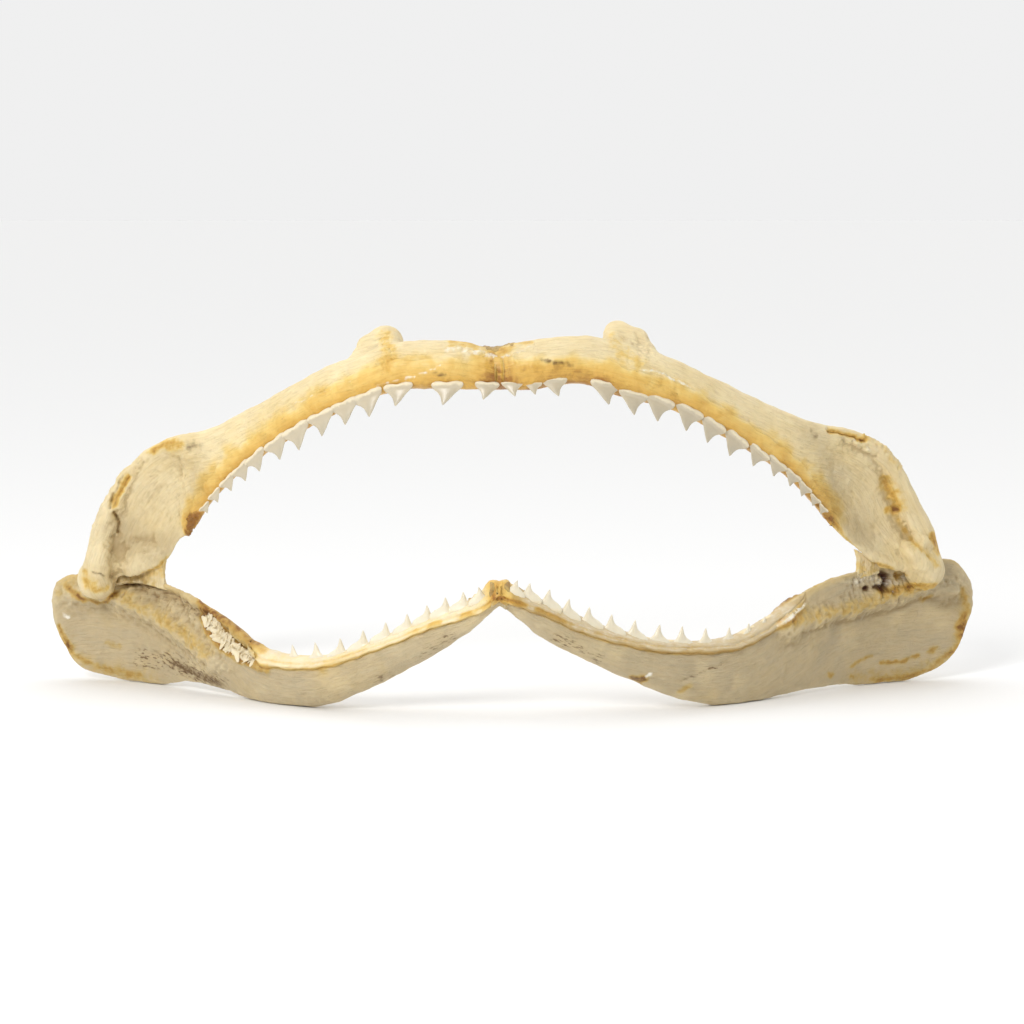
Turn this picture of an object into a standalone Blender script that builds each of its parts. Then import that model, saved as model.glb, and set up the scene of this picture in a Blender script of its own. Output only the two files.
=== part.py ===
"""Silky shark jaw, dried and spread open, standing on its lower edge.

Metres, +Z up, the mouth faces -Y. Right and left are the shark's own, so its right is at -X.
Each half jaw is lofted from stations that run from the midline to the jaw joint. A station is
the upper edge and the lower edge of the cartilage, its thickness and how far its face is dished.
Along the mouth the tooth edge of that loft is parted off as the gum band, which carries the teeth.
"""

import math
import random

import bmesh
import bpy
from mathutils import Matrix, Vector

MM = 0.001  # the tables below are in millimetres

# The frame: stations are measured from the jaw joints, and the part stands centred on its base
JOINT_TO_CENTRE = Vector((-0.1, 29.5, 0.0))
GAP = 0.35  # between pieces that touch

# Stations: upper edge x, y, z; lower edge x, y, z; thickness at the upper edge, middle and
# lower edge; depth of the hollow in the outer face, negative where it is crowned
STATIONS = {
    "upper_jaw_right": [
        (-5.0, -44, 106.6, -5.0, -50, 96.3, 8, 9, 7, -0.8),
        (-17.0, -44, 109.7, -17.0, -50, 96.4, 8, 10, 8, -1.0),
        (-32.0, -42, 109.5, -31.5, -48, 96.0, 8, 10, 8, -1.0),
        (-44.0, -39, 105.9, -41.0, -45, 93.6, 8, 10, 8, -1.0),
        (-58.0, -33, 100.0, -54.5, -40, 87.6, 7, 9, 8, -0.5),
        (-76.0, -25, 90.1, -70.0, -32, 78.5, 7, 8, 7, 0.0),
        (-92.0, -17, 81.7, -83.0, -24, 68.8, 7, 7, 6, 0.5),
        (-107.0, -9, 77.7, -92.0, -17, 59.5, 8, 5.5, 5, 2.0),
        (-119.0, -3, 69.0, -98.0, -12, 50.5, 9, 4.5, 4.5, 3.0),
        (-127.0, 0, 57.5, -103.0, -9, 46.0, 10, 4.5, 4, 3.0),
        (-131.5, 1, 46.5, -106.0, -7, 41.0, 11, 4.5, 4, 2.5),
        (-134.3, 1, 34.5, -108.0, -6, 38.8, 9, 4, 3, 1.2),
        (-133.4, 0.5, 31.0, -108.6, -5.9, 37.4, 5, 2.4, 1.6, 0.9),
    ],
    "upper_jaw_left": [
        (-2.4, -44, 108.2, -2.4, -50, 96.3, 8, 9, 7, -0.8),
        (6.0, -44, 110.1, 6.0, -50, 96.2, 8, 10, 8, -1.0),
        (20.5, -42, 111.0, 20.5, -48, 97.8, 8, 10, 8, -1.0),
        (36.0, -39, 108.5, 33.0, -45, 93.6, 8, 10, 8, -1.0),
        (54.5, -33, 101.0, 49.5, -40, 88.9, 7, 9, 8, -0.5),
        (74.5, -25, 91.1, 67.0, -32, 78.9, 7, 8, 7, 0.0),
        (92.0, -17, 83.6, 82.5, -24, 68.7, 7, 7, 6, 0.5),
        (106.5, -9, 80.1, 92.5, -17, 58.5, 8, 5.5, 5, 2.0),
        (118.8, -3, 71.9, 98.5, -12, 51.0, 9, 4.5, 4.5, 3.0),
        (126.5, 0, 58.0, 103.5, -9, 46.0, 10, 4.5, 4, 3.0),
        (132.0, 1, 47.0, 108.5, -7, 42.5, 11, 4.5, 4, 2.5),
        (134.5, 1, 37.5, 113.0, -6, 38.8, 9, 4, 3, 1.2),
        (133.4, 0.5, 34.5, 114.0, -5.9, 37.4, 5, 2.4, 1.6, 0.9),
    ],
    "lower_jaw_right": [
        (-4.6, -73, 40.6, -4.6, -69, 34.8, 6, 7, 6, 0.0),
        (-12.0, -70, 35.3, -14.5, -65, 24.2, 7, 8, 6, -0.5),
        (-24.0, -64, 29.9, -28.0, -59, 14.7, 8, 8, 6, -1.0),
        (-39.0, -57, 22.5, -44.0, -53, 5.9, 8, 8, 6, -1.0),
        (-56.0, -49, 16.1, -58.5, -47, 0.1, 8, 7.5, 6, -0.5),
        (-74.0, -38, 16.2, -75.0, -35, -0.7, 8, 7, 6, 0.0),
        (-87.0, -27, 23.8, -89.0, -22, 1.8, 7, 6, 5, 1.0),
        (-98.0, -15, 28.8, -101.5, -9, 1.9, 6, 5, 4.5, 1.5),
        (-109.5, -4, 32.3, -114.0, 2, -1.6, 5, 4.5, 5, 2.0),
        (-124.5, 6, 33.2, -125.5, 8, 0.6, 5, 4.5, 5, 2.0),
        (-138.0, 12, 33.0, -136.3, 11, 3.5, 5, 4.5, 4.5, 1.5),
        (-143.5, 14, 30.5, -142.6, 12, 12.0, 4, 3.5, 3.5, 0.5),
        (-145.4, 14.4, 26.0, -145.0, 13.6, 18.5, 2, 2, 2, 0.0),
    ],
    "lower_jaw_left": [
        (-2.8, -73, 40.6, -2.8, -69, 34.8, 6, 7, 6, 0.0),
        (5.5, -70, 36.9, 7.2, -65, 25.0, 7, 8, 6, -0.5),
        (18.0, -64, 30.3, 20.0, -59, 17.0, 8, 8, 6, -1.0),
        (32.5, -57, 24.5, 35.5, -53, 9.0, 8, 8, 6, -1.0),
        (49.0, -49, 20.4, 52.0, -48, 2.3, 8, 7.5, 6, -0.5),
        (65.5, -40, 20.5, 69.0, -37, -1.0, 8, 7, 6, 0.0),
        (80.0, -29, 26.0, 85.5, -24, 0.9, 7, 6, 5, 1.0),
        (94.0, -16, 33.2, 101.5, -9, 0.8, 6, 5, 4.5, 1.5),
        (110.0, -5, 36.7, 116.0, 2, -1.6, 5, 4.5, 5, 2.0),
        (127.0, 6, 37.4, 130.5, 8, 2.2, 5, 4.5, 5, 2.0),
        (138.5, 12, 38.0, 139.0, 11, 6.6, 5, 4.5, 4.5, 1.5),
        (143.7, 14, 33.5, 143.7, 12, 16.5, 4, 3.5, 3.5, 0.5),
        (145.4, 14.4, 29.0, 145.4, 13.6, 21.5, 2, 2, 2, 0.0),
    ],
}

# Gum bands: width outside and inside at the midline, and the same near the row's end
GUM = {
    "upper": {"outside": (7.5, 4.2), "inside": (9.5, 5.0)},
    "lower": {"outside": (4.4, 5.2), "inside": (8.5, 5.5)},
}
GUM_MOST = {"outside": 0.66, "inside": 0.72}  # largest share of a section's height that is gum
GUM_END = {  # station at which each band ends
    "upper_jaw_right": 8.0,
    "upper_jaw_left": 8.0,
    "lower_jaw_right": 6.9,
    "lower_jaw_left": 6.7,
}
GUM_TAPER = 0.08  # share of the length over which a band runs out

# Teeth: distance of each one along the gum, with a gap where one has been lost, and how far
# below the gum's edge the row is rooted
ROWS = {
    "upper_teeth_right": (
        2.6, 14.0, 28.4, 38.2, 46.0, 54.6, 64.2, 72.4, 81.4, 88.0, 94.6, 101.6, 107.6),
    "upper_teeth_left": (
        2.6, 8.6, 14.8, 30.2, 39.2, 47.4, 57.4, 66.4, 75.4, 84.6, 92.2, 99.0, 105.0, 110.8, 115.4),
    "lower_teeth_right": (
        5.8, 11.6, 17.8, 24.2, 31.4, 39.4, 47.4, 55.4, 63.6, 72.0, 80.2, 87.2, 94.4, 100.4),
    "lower_teeth_left": (
        3.6, 8.2, 14.6, 21.6, 29.4, 37.4, 45.4, 53.6, 61.8, 70.0, 78.4, 86.0, 92.6),
}
SUNK = {
    "upper_teeth_right": 0.3,
    "upper_teeth_left": 1.0,
    "lower_teeth_right": 1.9,
    "lower_teeth_left": 1.5,
}

# Tooth outlines as (share of the height, front edge, back edge, half thickness), edges as
# shares of the width, with the midline side of the tooth first; "edge" says which of a station's
# three thicknesses the row stands on
TOOTH = {
    "upper": {
        "width": 9.8, "height": 7.8, "root": 2.0, "tip": 0.25, "forward": 1.0, "edge": 2,
        "outline": [
            (0.0, -0.50, 0.50, 0.13), (0.20, -0.42, 0.46, 0.12),
            (0.40, -0.29, 0.27, 0.10), (0.72, -0.05, 0.27, 0.06)],
    },
    "lower": {
        "width": 7.4, "height": 5.6, "root": 0.7, "tip": 0.02, "forward": 1.6, "edge": 0,
        "outline": [
            (0.0, -0.50, 0.50, 0.16), (0.30, -0.30, 0.30, 0.15),
            (0.46, -0.12, 0.13, 0.11), (0.75, -0.06, 0.07, 0.07)],
    },
}

ROOT = (-0.30, 0.30, 0.11)  # front edge, back edge and half thickness where a root ends in the gum
SIZE_DRAW = (0.94, 1.05)  # spread of the teeth's sizes
LEAN_DRAW = (-0.06, 0.06)  # spread of their lean along the row

# The first row of new teeth lies folded down on the inner face
NEW_TOOTH = {
    "outline": [(-0.3, -0.28, 0.28, 0.12), (0.25, -0.40, 0.40, 0.13)],
    "width": 0.8, "height": 0.75,  # shares of the standing tooth's
    "bite": 0.5,  # how deep the row lies in the inner face
    "below": (3.2, 0.3),  # depth below the edge, at most this share of the section's height
}

ORBITAL_PROCESS = {  # centre, radii and lean of the two lobes of the knob behind the upper edge
    "upper_jaw_right": [
        ((-40.3, -33.8, 106.6), (7.0, 6.0, 5.2), 24),
        ((-37.6, -32.6, 109.6), (5.8, 5.5, 4.6), 20)],
    "upper_jaw_left": [
        ((34.4, -33.8, 108.2), (7.4, 6.0, 5.4), -24),
        ((31.8, -32.6, 111.4), (5.2, 5.5, 4.8), -20)],
}
CONDYLE = {  # centre and radii of the knob that the upper jaw turns on
    "right": ((-129.6, -0.5, 33.0), (6.4, 6.2, 6.6)),
    "left": ((128.8, -0.5, 36.2), (6.6, 6.2, 6.6)),
}
OUTER_RIDGE = {  # points and radius of the ridge across the outer face of the lower jaw
    "lower_jaw_right": [
        (-137, 7.0, 24.5, 3.2), (-129, 3.4, 25.0, 4.6), (-119, -0.5, 24.5, 4.6), (-109, -6.0, 21.5, 4.2),
        (-100, -12.5, 17.0, 3.6), (-90, -21.5, 11.5, 1.8)],
    "lower_jaw_left": [
        (137, 7.0, 27.5, 3.2), (129, 3.4, 28.2, 4.6), (119, -0.5, 27.5, 4.6), (109, -6.2, 25.0, 4.2),
        (99, -13.5, 21.0, 3.6), (87, -22.8, 17.5, 1.8)],
}
CORNER_WEB = {  # sections of the skin at the corner of the mouth: x, y, foot z, head z, thickness
    "mouth_corner_right": [
        (-106.9, -5.4, 32.9, 36.8, 2.6), (-108.6, -4.6, 33.0, 36.7, 1.8), (-112.0, -3.4, 33.2, 35.9, 1.6),
        (-116.0, -1.2, 33.4, 34.9, 1.4), (-118.6, 0.0, 33.6, 34.1, 1.0)],
    "mouth_corner_left": [
        (107.3, -6.6, 37.2, 40.6, 2.4), (109.0, -5.6, 37.3, 40.2, 1.8), (111.4, -4.6, 37.4, 38.9, 1.5),
        (113.4, -3.6, 37.5, 37.9, 1.0)],
}

COLOURS = {
    "cartilage": ((0.80, 0.72, 0.54, 1), 0.5),
    "gum": ((0.72, 0.46, 0.15, 1), 0.35),
    "enamel": ((0.86, 0.83, 0.74, 1), 0.25),
    "ligament": ((0.45, 0.26, 0.10, 1), 0.5),
}

FACE_POINTS = 9  # points across each face of a section
STEPS = 3  # rings from one station to the next
TABLE_STEP = 0.05  # step along the stations for directions and lengths
EDGE_SHARE = 0.45  # share of the height over which an edge's thickness turns into the middle's
PAD_SHARE = 0.96  # size of a midline pad as a share of the section that it joins
BAR_SIDES = 10
KNOB_SEGMENTS = (12, 8)


def clear_scene():
    for obj in list(bpy.data.objects):
        bpy.data.objects.remove(obj)


def material(name):
    found = bpy.data.materials.get(name)
    if found:
        return found
    made = bpy.data.materials.new(name)
    made.use_nodes = True
    shader = made.node_tree.nodes["Principled BSDF"]
    shader.inputs["Base Color"].default_value = COLOURS[name][0]
    shader.inputs["Roughness"].default_value = COLOURS[name][1]
    shader.inputs["Metallic"].default_value = 0.0
    return made


def at(point):
    """A point of the tables, in metres in the part's frame."""
    return (Vector(point) + JOINT_TO_CENTRE) * MM


def blend_rows(rows, u):
    """The station at place u, on a smooth curve through the whole stations."""
    i = min(int(u), len(rows) - 2)
    t = u - i
    p0, p1, p2, p3 = (rows[max(0, min(len(rows) - 1, i + k))] for k in (-1, 0, 1, 2))
    return [
        0.5 * (2 * b + (c - a) * t + (2 * a - 5 * b + 4 * c - d) * t * t + (3 * b - a - 3 * c + d) * t**3)
        for a, b, c, d in zip(p0, p1, p2, p3)
    ]


class Section:
    """One cross section of a half jaw, square to its length."""

    def __init__(self, rows, u):
        row = blend_rows(rows, u)
        self.upper = Vector(row[0:3])
        self.lower = Vector(row[3:6])
        self.thick = row[6:9]
        self.dish = row[9]
        self.down = self.lower - self.upper
        self.height = self.down.length
        before = blend_rows(rows, max(0, u - TABLE_STEP))
        after = blend_rows(rows, min(len(rows) - 1, u + TABLE_STEP))
        way = [after[k] + after[k + 3] - before[k] - before[k + 3] for k in range(3)]
        self.along = Vector(way).normalized()
        out = self.down.cross(self.along)
        if u == 0:
            out.x = 0.0  # the halves meet on an upright plane
        if out.y > 0:
            out = -out
        self.out = out.normalized()

    def point(self, v, side):
        """The point at share v of the way down, on the outer face (side 1) or the inner face (-1)."""
        near_top = 0.5 + 0.5 * math.cos(math.pi * min(1, v / EDGE_SHARE))
        near_foot = 0.5 + 0.5 * math.cos(math.pi * min(1, (1 - v) / EDGE_SHARE))
        top, middle, foot = self.thick
        thick = middle + (top - middle) * near_top + (foot - middle) * near_foot
        rounding = math.sqrt(max(0.0, 1 - abs(2 * v - 1) ** 4))
        offset = side * 0.5 * thick * rounding - self.dish * 4 * v * (1 - v)
        return self.upper + self.down * v + self.out * offset

    def ring(self, outer, inner):
        """Points down the outer face and down the inner face, between these shares of the height."""
        rise = [0.5 - 0.5 * math.cos(math.pi * k / (FACE_POINTS - 1)) for k in range(FACE_POINTS)]
        faces = []
        for (start, end), side in ((outer, 1), (inner, -1)):
            points = [self.point(start + (end - start) * r, side) for r in rise]
            faces.append([Vector((p.x, p.y, max(0.0, p.z))) for p in points])
        return faces


def new_object(name, bm, finish):
    bmesh.ops.remove_doubles(bm, verts=bm.verts, dist=0.00001)
    bmesh.ops.recalc_face_normals(bm, faces=bm.faces)
    mesh = bpy.data.meshes.new(name)
    bm.to_mesh(mesh)
    bm.free()
    if mesh.polygons:
        mesh.shade_smooth()
        mesh.set_sharp_from_angle(angle=math.radians(50))
    mesh.materials.append(material(finish))
    obj = bpy.data.objects.new(name, mesh)
    bpy.context.scene.collection.objects.link(obj)
    return obj


def loft(name, rings, finish):
    """A closed solid through rings of (outer points, inner points), with flat ends."""
    bm = bmesh.new()
    made = []
    for ring in rings:
        made.append([[bm.verts.new(at(p)) for p in face] for face in ring])
    loops = [outer + inner[::-1] for outer, inner in made]
    count = len(loops[0])
    for first, second in zip(loops, loops[1:]):
        for j in range(count):
            k = (j + 1) % count
            bm.faces.new((first[j], second[j], second[k]))
            bm.faces.new((first[j], second[k], first[k]))
    for outer, inner in (made[0], made[-1]):
        for j in range(len(outer) - 1):
            bm.faces.new((outer[j], outer[j + 1], inner[j + 1], inner[j]))
    bmesh.ops.triangulate(bm, faces=[f for f in bm.faces if len(f.verts) > 3])
    return new_object(name, bm, finish)


def ellipsoid(name, centre, radii, lean, finish, grow=0.0):
    bm = bmesh.new()
    across, around = KNOB_SEGMENTS
    bmesh.ops.create_uvsphere(bm, u_segments=across, v_segments=around, radius=1.0)
    shape = Matrix.Diagonal([(r + grow) * MM for r in radii]).to_4x4()
    turn = Matrix.Rotation(math.radians(lean), 4, "Y")
    placed = Matrix.Translation(at(centre)) @ turn @ shape
    bmesh.ops.transform(bm, matrix=placed, verts=bm.verts)
    return new_object(name, bm, finish)


def combine(obj, pieces, operation):
    """Joins the pieces to obj, or cuts them from it, in one Boolean, and keeps its largest body."""
    group = bpy.data.collections.new(obj.name + "_pieces")
    for piece in pieces:
        bpy.context.scene.collection.objects.unlink(piece)
        group.objects.link(piece)
    bpy.context.scene.collection.children.link(group)
    modifier = obj.modifiers.new("combine", "BOOLEAN")
    modifier.operation = operation
    modifier.operand_type = "COLLECTION"
    modifier.collection = group
    modifier.solver = "EXACT"
    modifier.material_mode = "TRANSFER"
    bpy.context.view_layer.objects.active = obj
    bpy.ops.object.modifier_apply(modifier=modifier.name)
    for piece in list(group.objects):
        bpy.data.objects.remove(piece)
    bpy.data.collections.remove(group)
    keep_largest(obj)


def keep_largest(obj):
    bm = bmesh.new()
    bm.from_mesh(obj.data)
    left = set(bm.verts)
    bodies = []
    while left:
        body, edge = set(), [left.pop()]
        while edge:
            vertex = edge.pop()
            body.add(vertex)
            for link in vertex.link_edges:
                other = link.other_vert(vertex)
                if other in left:
                    left.remove(other)
                    edge.append(other)
        bodies.append(body)
    bodies.sort(key=len)
    bmesh.ops.delete(bm, geom=[v for body in bodies[:-1] for v in body], context="VERTS")
    bm.to_mesh(obj.data)
    bm.free()


def gum_share(jaw, section, u, end):
    """The gum band's width on the outer and the inner face, as shares of the section's height."""
    t = u / end
    taper = math.sqrt(min(1.0, max(0.0, (1 - t) / GUM_TAPER)))
    shares = []
    for face, (first, last) in GUM[jaw].items():
        width = taper * (first + (last - first) * t)
        shares.append(min(GUM_MOST[face], width / section.height))
    return shares


def places(first, last):
    """Places along a half jaw, a few to each station, from first to last."""
    found = [first]
    step = 1.0 / STEPS
    k = math.floor(first / step) + 1
    while k * step < last - 0.1:
        found.append(k * step)
        k += 1
    return found + [last]


def span(jaw, share, gap, gum):
    """The part of a face, as shares from the upper edge, that is gum or that is cartilage."""
    if jaw == "upper":
        return (1 - share + gap, 1.0) if gum else (0.0, 1 - share)
    return (0.0, share - gap) if gum else (share, 1.0)


def half_jaw(name, jaw):
    """The cartilage of a half jaw, without its gum band."""
    rows = STATIONS[name]
    end = GUM_END[name]
    rings = []
    beside_gum = places(0.0, end * (1 - GUM_TAPER)) + places(end * (1 - GUM_TAPER / 2), end)
    for u in beside_gum:
        section = Section(rows, u)
        outside, inside = gum_share(jaw, section, u, end)
        rings.append(section.ring(span(jaw, outside, 0, False), span(jaw, inside, 0, False)))
    for u in places(math.ceil(end) + 1 / STEPS, len(rows) - 1.0):
        rings.append(Section(rows, u).ring((0.0, 1.0), (0.0, 1.0)))
    return loft(name, rings, "cartilage")


def gum_band(name, half, jaw):
    rows = STATIONS[half]
    end = GUM_END[half]
    rings = []
    for u in places(0.0, end * (1 - GUM_TAPER)) + [end * (1 - GUM_TAPER / 2)]:
        section = Section(rows, u)
        gap = GAP / section.height
        outside, inside = gum_share(jaw, section, u, end)
        ring = section.ring(span(jaw, outside, gap, True), span(jaw, inside, gap, True))
        rings.append(ring[::-1])  # so that its faces split along the same diagonals as the cartilage
    return loft(name, rings, "gum")


def tooth(name, levels, foot, up, distal, out, width, height, tip):
    """A tooth of a few flat faces through its levels, closed by its tip and its root's end."""
    bm = bmesh.new()
    loops = []
    for rise, front, back, thick in levels:
        centre = foot + up * (rise * height)
        middle = centre + distal * ((front + back) / 2 * width)
        corners = [
            centre + distal * (front * width), middle + out * (thick * width),
            centre + distal * (back * width), middle - out * (thick * width)]
        loops.append([bm.verts.new(at(corner)) for corner in corners])
    point = bm.verts.new(at(foot + up * height + distal * (tip * width)))
    for first, second in zip(loops, loops[1:]):
        for j in range(4):
            k = (j + 1) % 4
            bm.faces.new((first[j], second[j], second[k]))
            bm.faces.new((first[j], second[k], first[k]))
    for j in range(4):
        bm.faces.new((loops[-1][j], point, loops[-1][(j + 1) % 4]))
    bm.faces.new(loops[0])
    bmesh.ops.triangulate(bm, faces=[f for f in bm.faces if len(f.verts) > 3])
    return new_object(name, bm, "enamel")


def edge_places(rows, jaw, end):
    """The tooth edge as (distance from the midline, place) pairs."""
    pairs = [(0.0, 0.0)]
    before = None
    far = 0.0
    u = 0.0
    while u <= end:
        section = Section(rows, u)
        edge = section.lower if jaw == "upper" else section.upper
        if before is not None:
            far += (edge - before).length
            pairs.append((far, u))
        before = edge
        u += TABLE_STEP
    return pairs


def place_at(pairs, distance):
    for (d0, u0), (d1, u1) in zip(pairs, pairs[1:]):
        if d1 >= distance:
            return u0 + (u1 - u0) * (distance - d0) / max(1e-6, d1 - d0)
    return None


def tooth_size(distance, length):
    """Teeth start small at the midline, soon reach full size, and shrink again over the last part."""
    front = 0.56 + 0.44 * min(1.0, distance / 28) ** 1.4
    back = 1.0 - 0.68 * max(0.0, distance / length - 0.58) / 0.36
    return min(front, back)


def tooth_row(half, jaw, row, draw):
    """The teeth that stand along the edge, and the first row of new teeth folded down behind them."""
    rows = STATIONS[half]
    shape = TOOTH[jaw]
    pairs = edge_places(rows, jaw, GUM_END[half])
    length = pairs[-1][0]
    teeth = []
    for k, distance in enumerate(ROWS[row]):
        section = Section(rows, place_at(pairs, distance))
        up = section.down.normalized() * (1 if jaw == "upper" else -1)
        distal = (section.along - up * section.along.dot(up)).normalized()
        edge = section.lower if jaw == "upper" else section.upper
        size = tooth_size(distance, length) * draw.uniform(*SIZE_DRAW)
        width = shape["width"] * size
        height = shape["height"] * size
        leaning = (up + distal * draw.uniform(*LEAN_DRAW)).normalized()
        foot = edge + section.out * shape["forward"] - up * SUNK[row]
        tip = shape["tip"] if k else 0.0  # the tooth at the midline stands upright
        levels = [(-shape["root"] / height, *ROOT)] + shape["outline"]
        teeth.append(tooth(
            f"tooth_{k}", levels, foot, leaning, distal, section.out, width, height, tip))
        depth, share = NEW_TOOTH["below"]
        inward = 0.5 * section.thick[shape["edge"]] - NEW_TOOTH["bite"]
        behind = edge - section.out * inward - up * min(depth, share * section.height)
        folded = (-section.out - up).normalized()
        face = (up - section.out).normalized()
        teeth.append(tooth(
            f"new_tooth_{k}", NEW_TOOTH["outline"], behind, folded, distal, face,
            width * NEW_TOOTH["width"], height * NEW_TOOTH["height"], tip))
    return teeth


def toothed_gum(name, half, jaw, draw):
    gum = gum_band(name, half, jaw)
    combine(gum, tooth_row(half, jaw, name, draw), "UNION")
    return gum


def round_bar(name, points, finish):
    """A bar of round section through (x, y, z, radius) points."""
    half = BAR_SIDES // 2
    path = [Vector(p[:3]) for p in points]
    rings = []
    for i, centre in enumerate(path):
        ahead = path[min(i + 1, len(path) - 1)]
        along = (ahead - path[max(i - 1, 0)]).normalized()
        across = along.cross(Vector((0, 0, 1))).normalized()
        rise = across.cross(along)
        turn = [2 * math.pi * (k + 0.5) / BAR_SIDES for k in range(BAR_SIDES)]
        ring = [centre + (across * math.cos(a) + rise * math.sin(a)) * points[i][3] for a in turn]
        rings.append((ring[:half], ring[half:][::-1]))
    return loft(name, rings, finish)


def symphysis_pad(name, jaw):
    """The dried ligament between two halves."""
    right = Section(STATIONS[f"{jaw}_jaw_right"], 0.0)
    left = Section(STATIONS[f"{jaw}_jaw_left"], 0.0)
    middle = (right.upper + right.lower) / 2
    rings = []
    for x in (right.upper.x + GAP, left.upper.x - GAP):
        faces = []
        for face in right.ring((0.0, 1.0), (0.0, 1.0)):
            smaller = [middle + (p - middle) * PAD_SHARE for p in face]
            faces.append([Vector((x, p.y, p.z)) for p in smaller])
        rings.append(faces)
    return loft(name, rings, "ligament")


def corner_web(name):
    """The dried skin that closes the corner of the mouth, thin and hollow-edged."""
    rings = []
    for x, y, foot, head, thick in CORNER_WEB[name]:
        rise = [0.5 - 0.5 * math.cos(math.pi * k / 4) for k in range(5)]
        bulge = [thick / 2 * math.sqrt(max(0.0, 1 - (2 * r - 1) ** 2)) for r in rise]
        faces = []
        for side in (-1, 1):
            column = [(x, y + side * b, foot + (head - foot) * r) for r, b in zip(rise, bulge)]
            faces.append([Vector(point) for point in column])
        rings.append(faces)
    return loft(name, rings, "ligament")


def main():
    clear_scene()
    draw = random.Random(7)
    for side in ("right", "left"):
        upper = "upper_jaw_" + side
        lower = "lower_jaw_" + side
        centre, radii = CONDYLE[side]
        upper_jaw = half_jaw(upper, "upper")
        knobs = [ellipsoid("orbital_process", *lobe, "cartilage") for lobe in ORBITAL_PROCESS[upper]]
        knobs.append(ellipsoid("condyle", centre, radii, 0, "cartilage"))
        combine(upper_jaw, knobs, "UNION")
        lower_jaw = half_jaw(lower, "lower")
        combine(lower_jaw, [round_bar("outer_ridge", OUTER_RIDGE[lower], "cartilage")], "UNION")
        combine(lower_jaw, [ellipsoid("socket", centre, radii, 0, "cartilage", GAP)], "DIFFERENCE")
        toothed_gum("upper_teeth_" + side, upper, "upper", draw)
        toothed_gum("lower_teeth_" + side, lower, "lower", draw)
        corner_web("mouth_corner_" + side)
    symphysis_pad("upper_symphysis", "upper")
    symphysis_pad("lower_symphysis", "lower")


main()
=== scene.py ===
import math
import random

import bpy
import numpy as np
from mathutils import Matrix, Vector, noise


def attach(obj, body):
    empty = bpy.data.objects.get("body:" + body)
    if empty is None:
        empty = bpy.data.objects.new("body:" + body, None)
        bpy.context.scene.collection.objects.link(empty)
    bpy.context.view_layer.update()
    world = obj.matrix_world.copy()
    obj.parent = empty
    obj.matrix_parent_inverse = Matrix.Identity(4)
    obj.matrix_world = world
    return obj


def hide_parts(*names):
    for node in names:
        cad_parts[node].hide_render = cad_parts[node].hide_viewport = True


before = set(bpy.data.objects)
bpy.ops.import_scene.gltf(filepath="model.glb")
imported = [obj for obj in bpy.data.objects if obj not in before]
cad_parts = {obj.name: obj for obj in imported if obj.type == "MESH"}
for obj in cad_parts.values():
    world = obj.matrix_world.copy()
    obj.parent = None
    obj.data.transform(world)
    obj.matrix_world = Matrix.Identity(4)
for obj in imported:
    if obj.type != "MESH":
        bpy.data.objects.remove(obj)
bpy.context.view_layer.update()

# Silky shark jaw, dried and spread. Tables are in millimetres, the scene is in metres.
# The shark's right is at -X and its mouth faces -Y.

mm = 0.001
jointToCentre = np.array((-0.1, 29.5, 0.0))  # the half jaws' tables are measured from the jaw joints
draw = random.Random(11)

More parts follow.
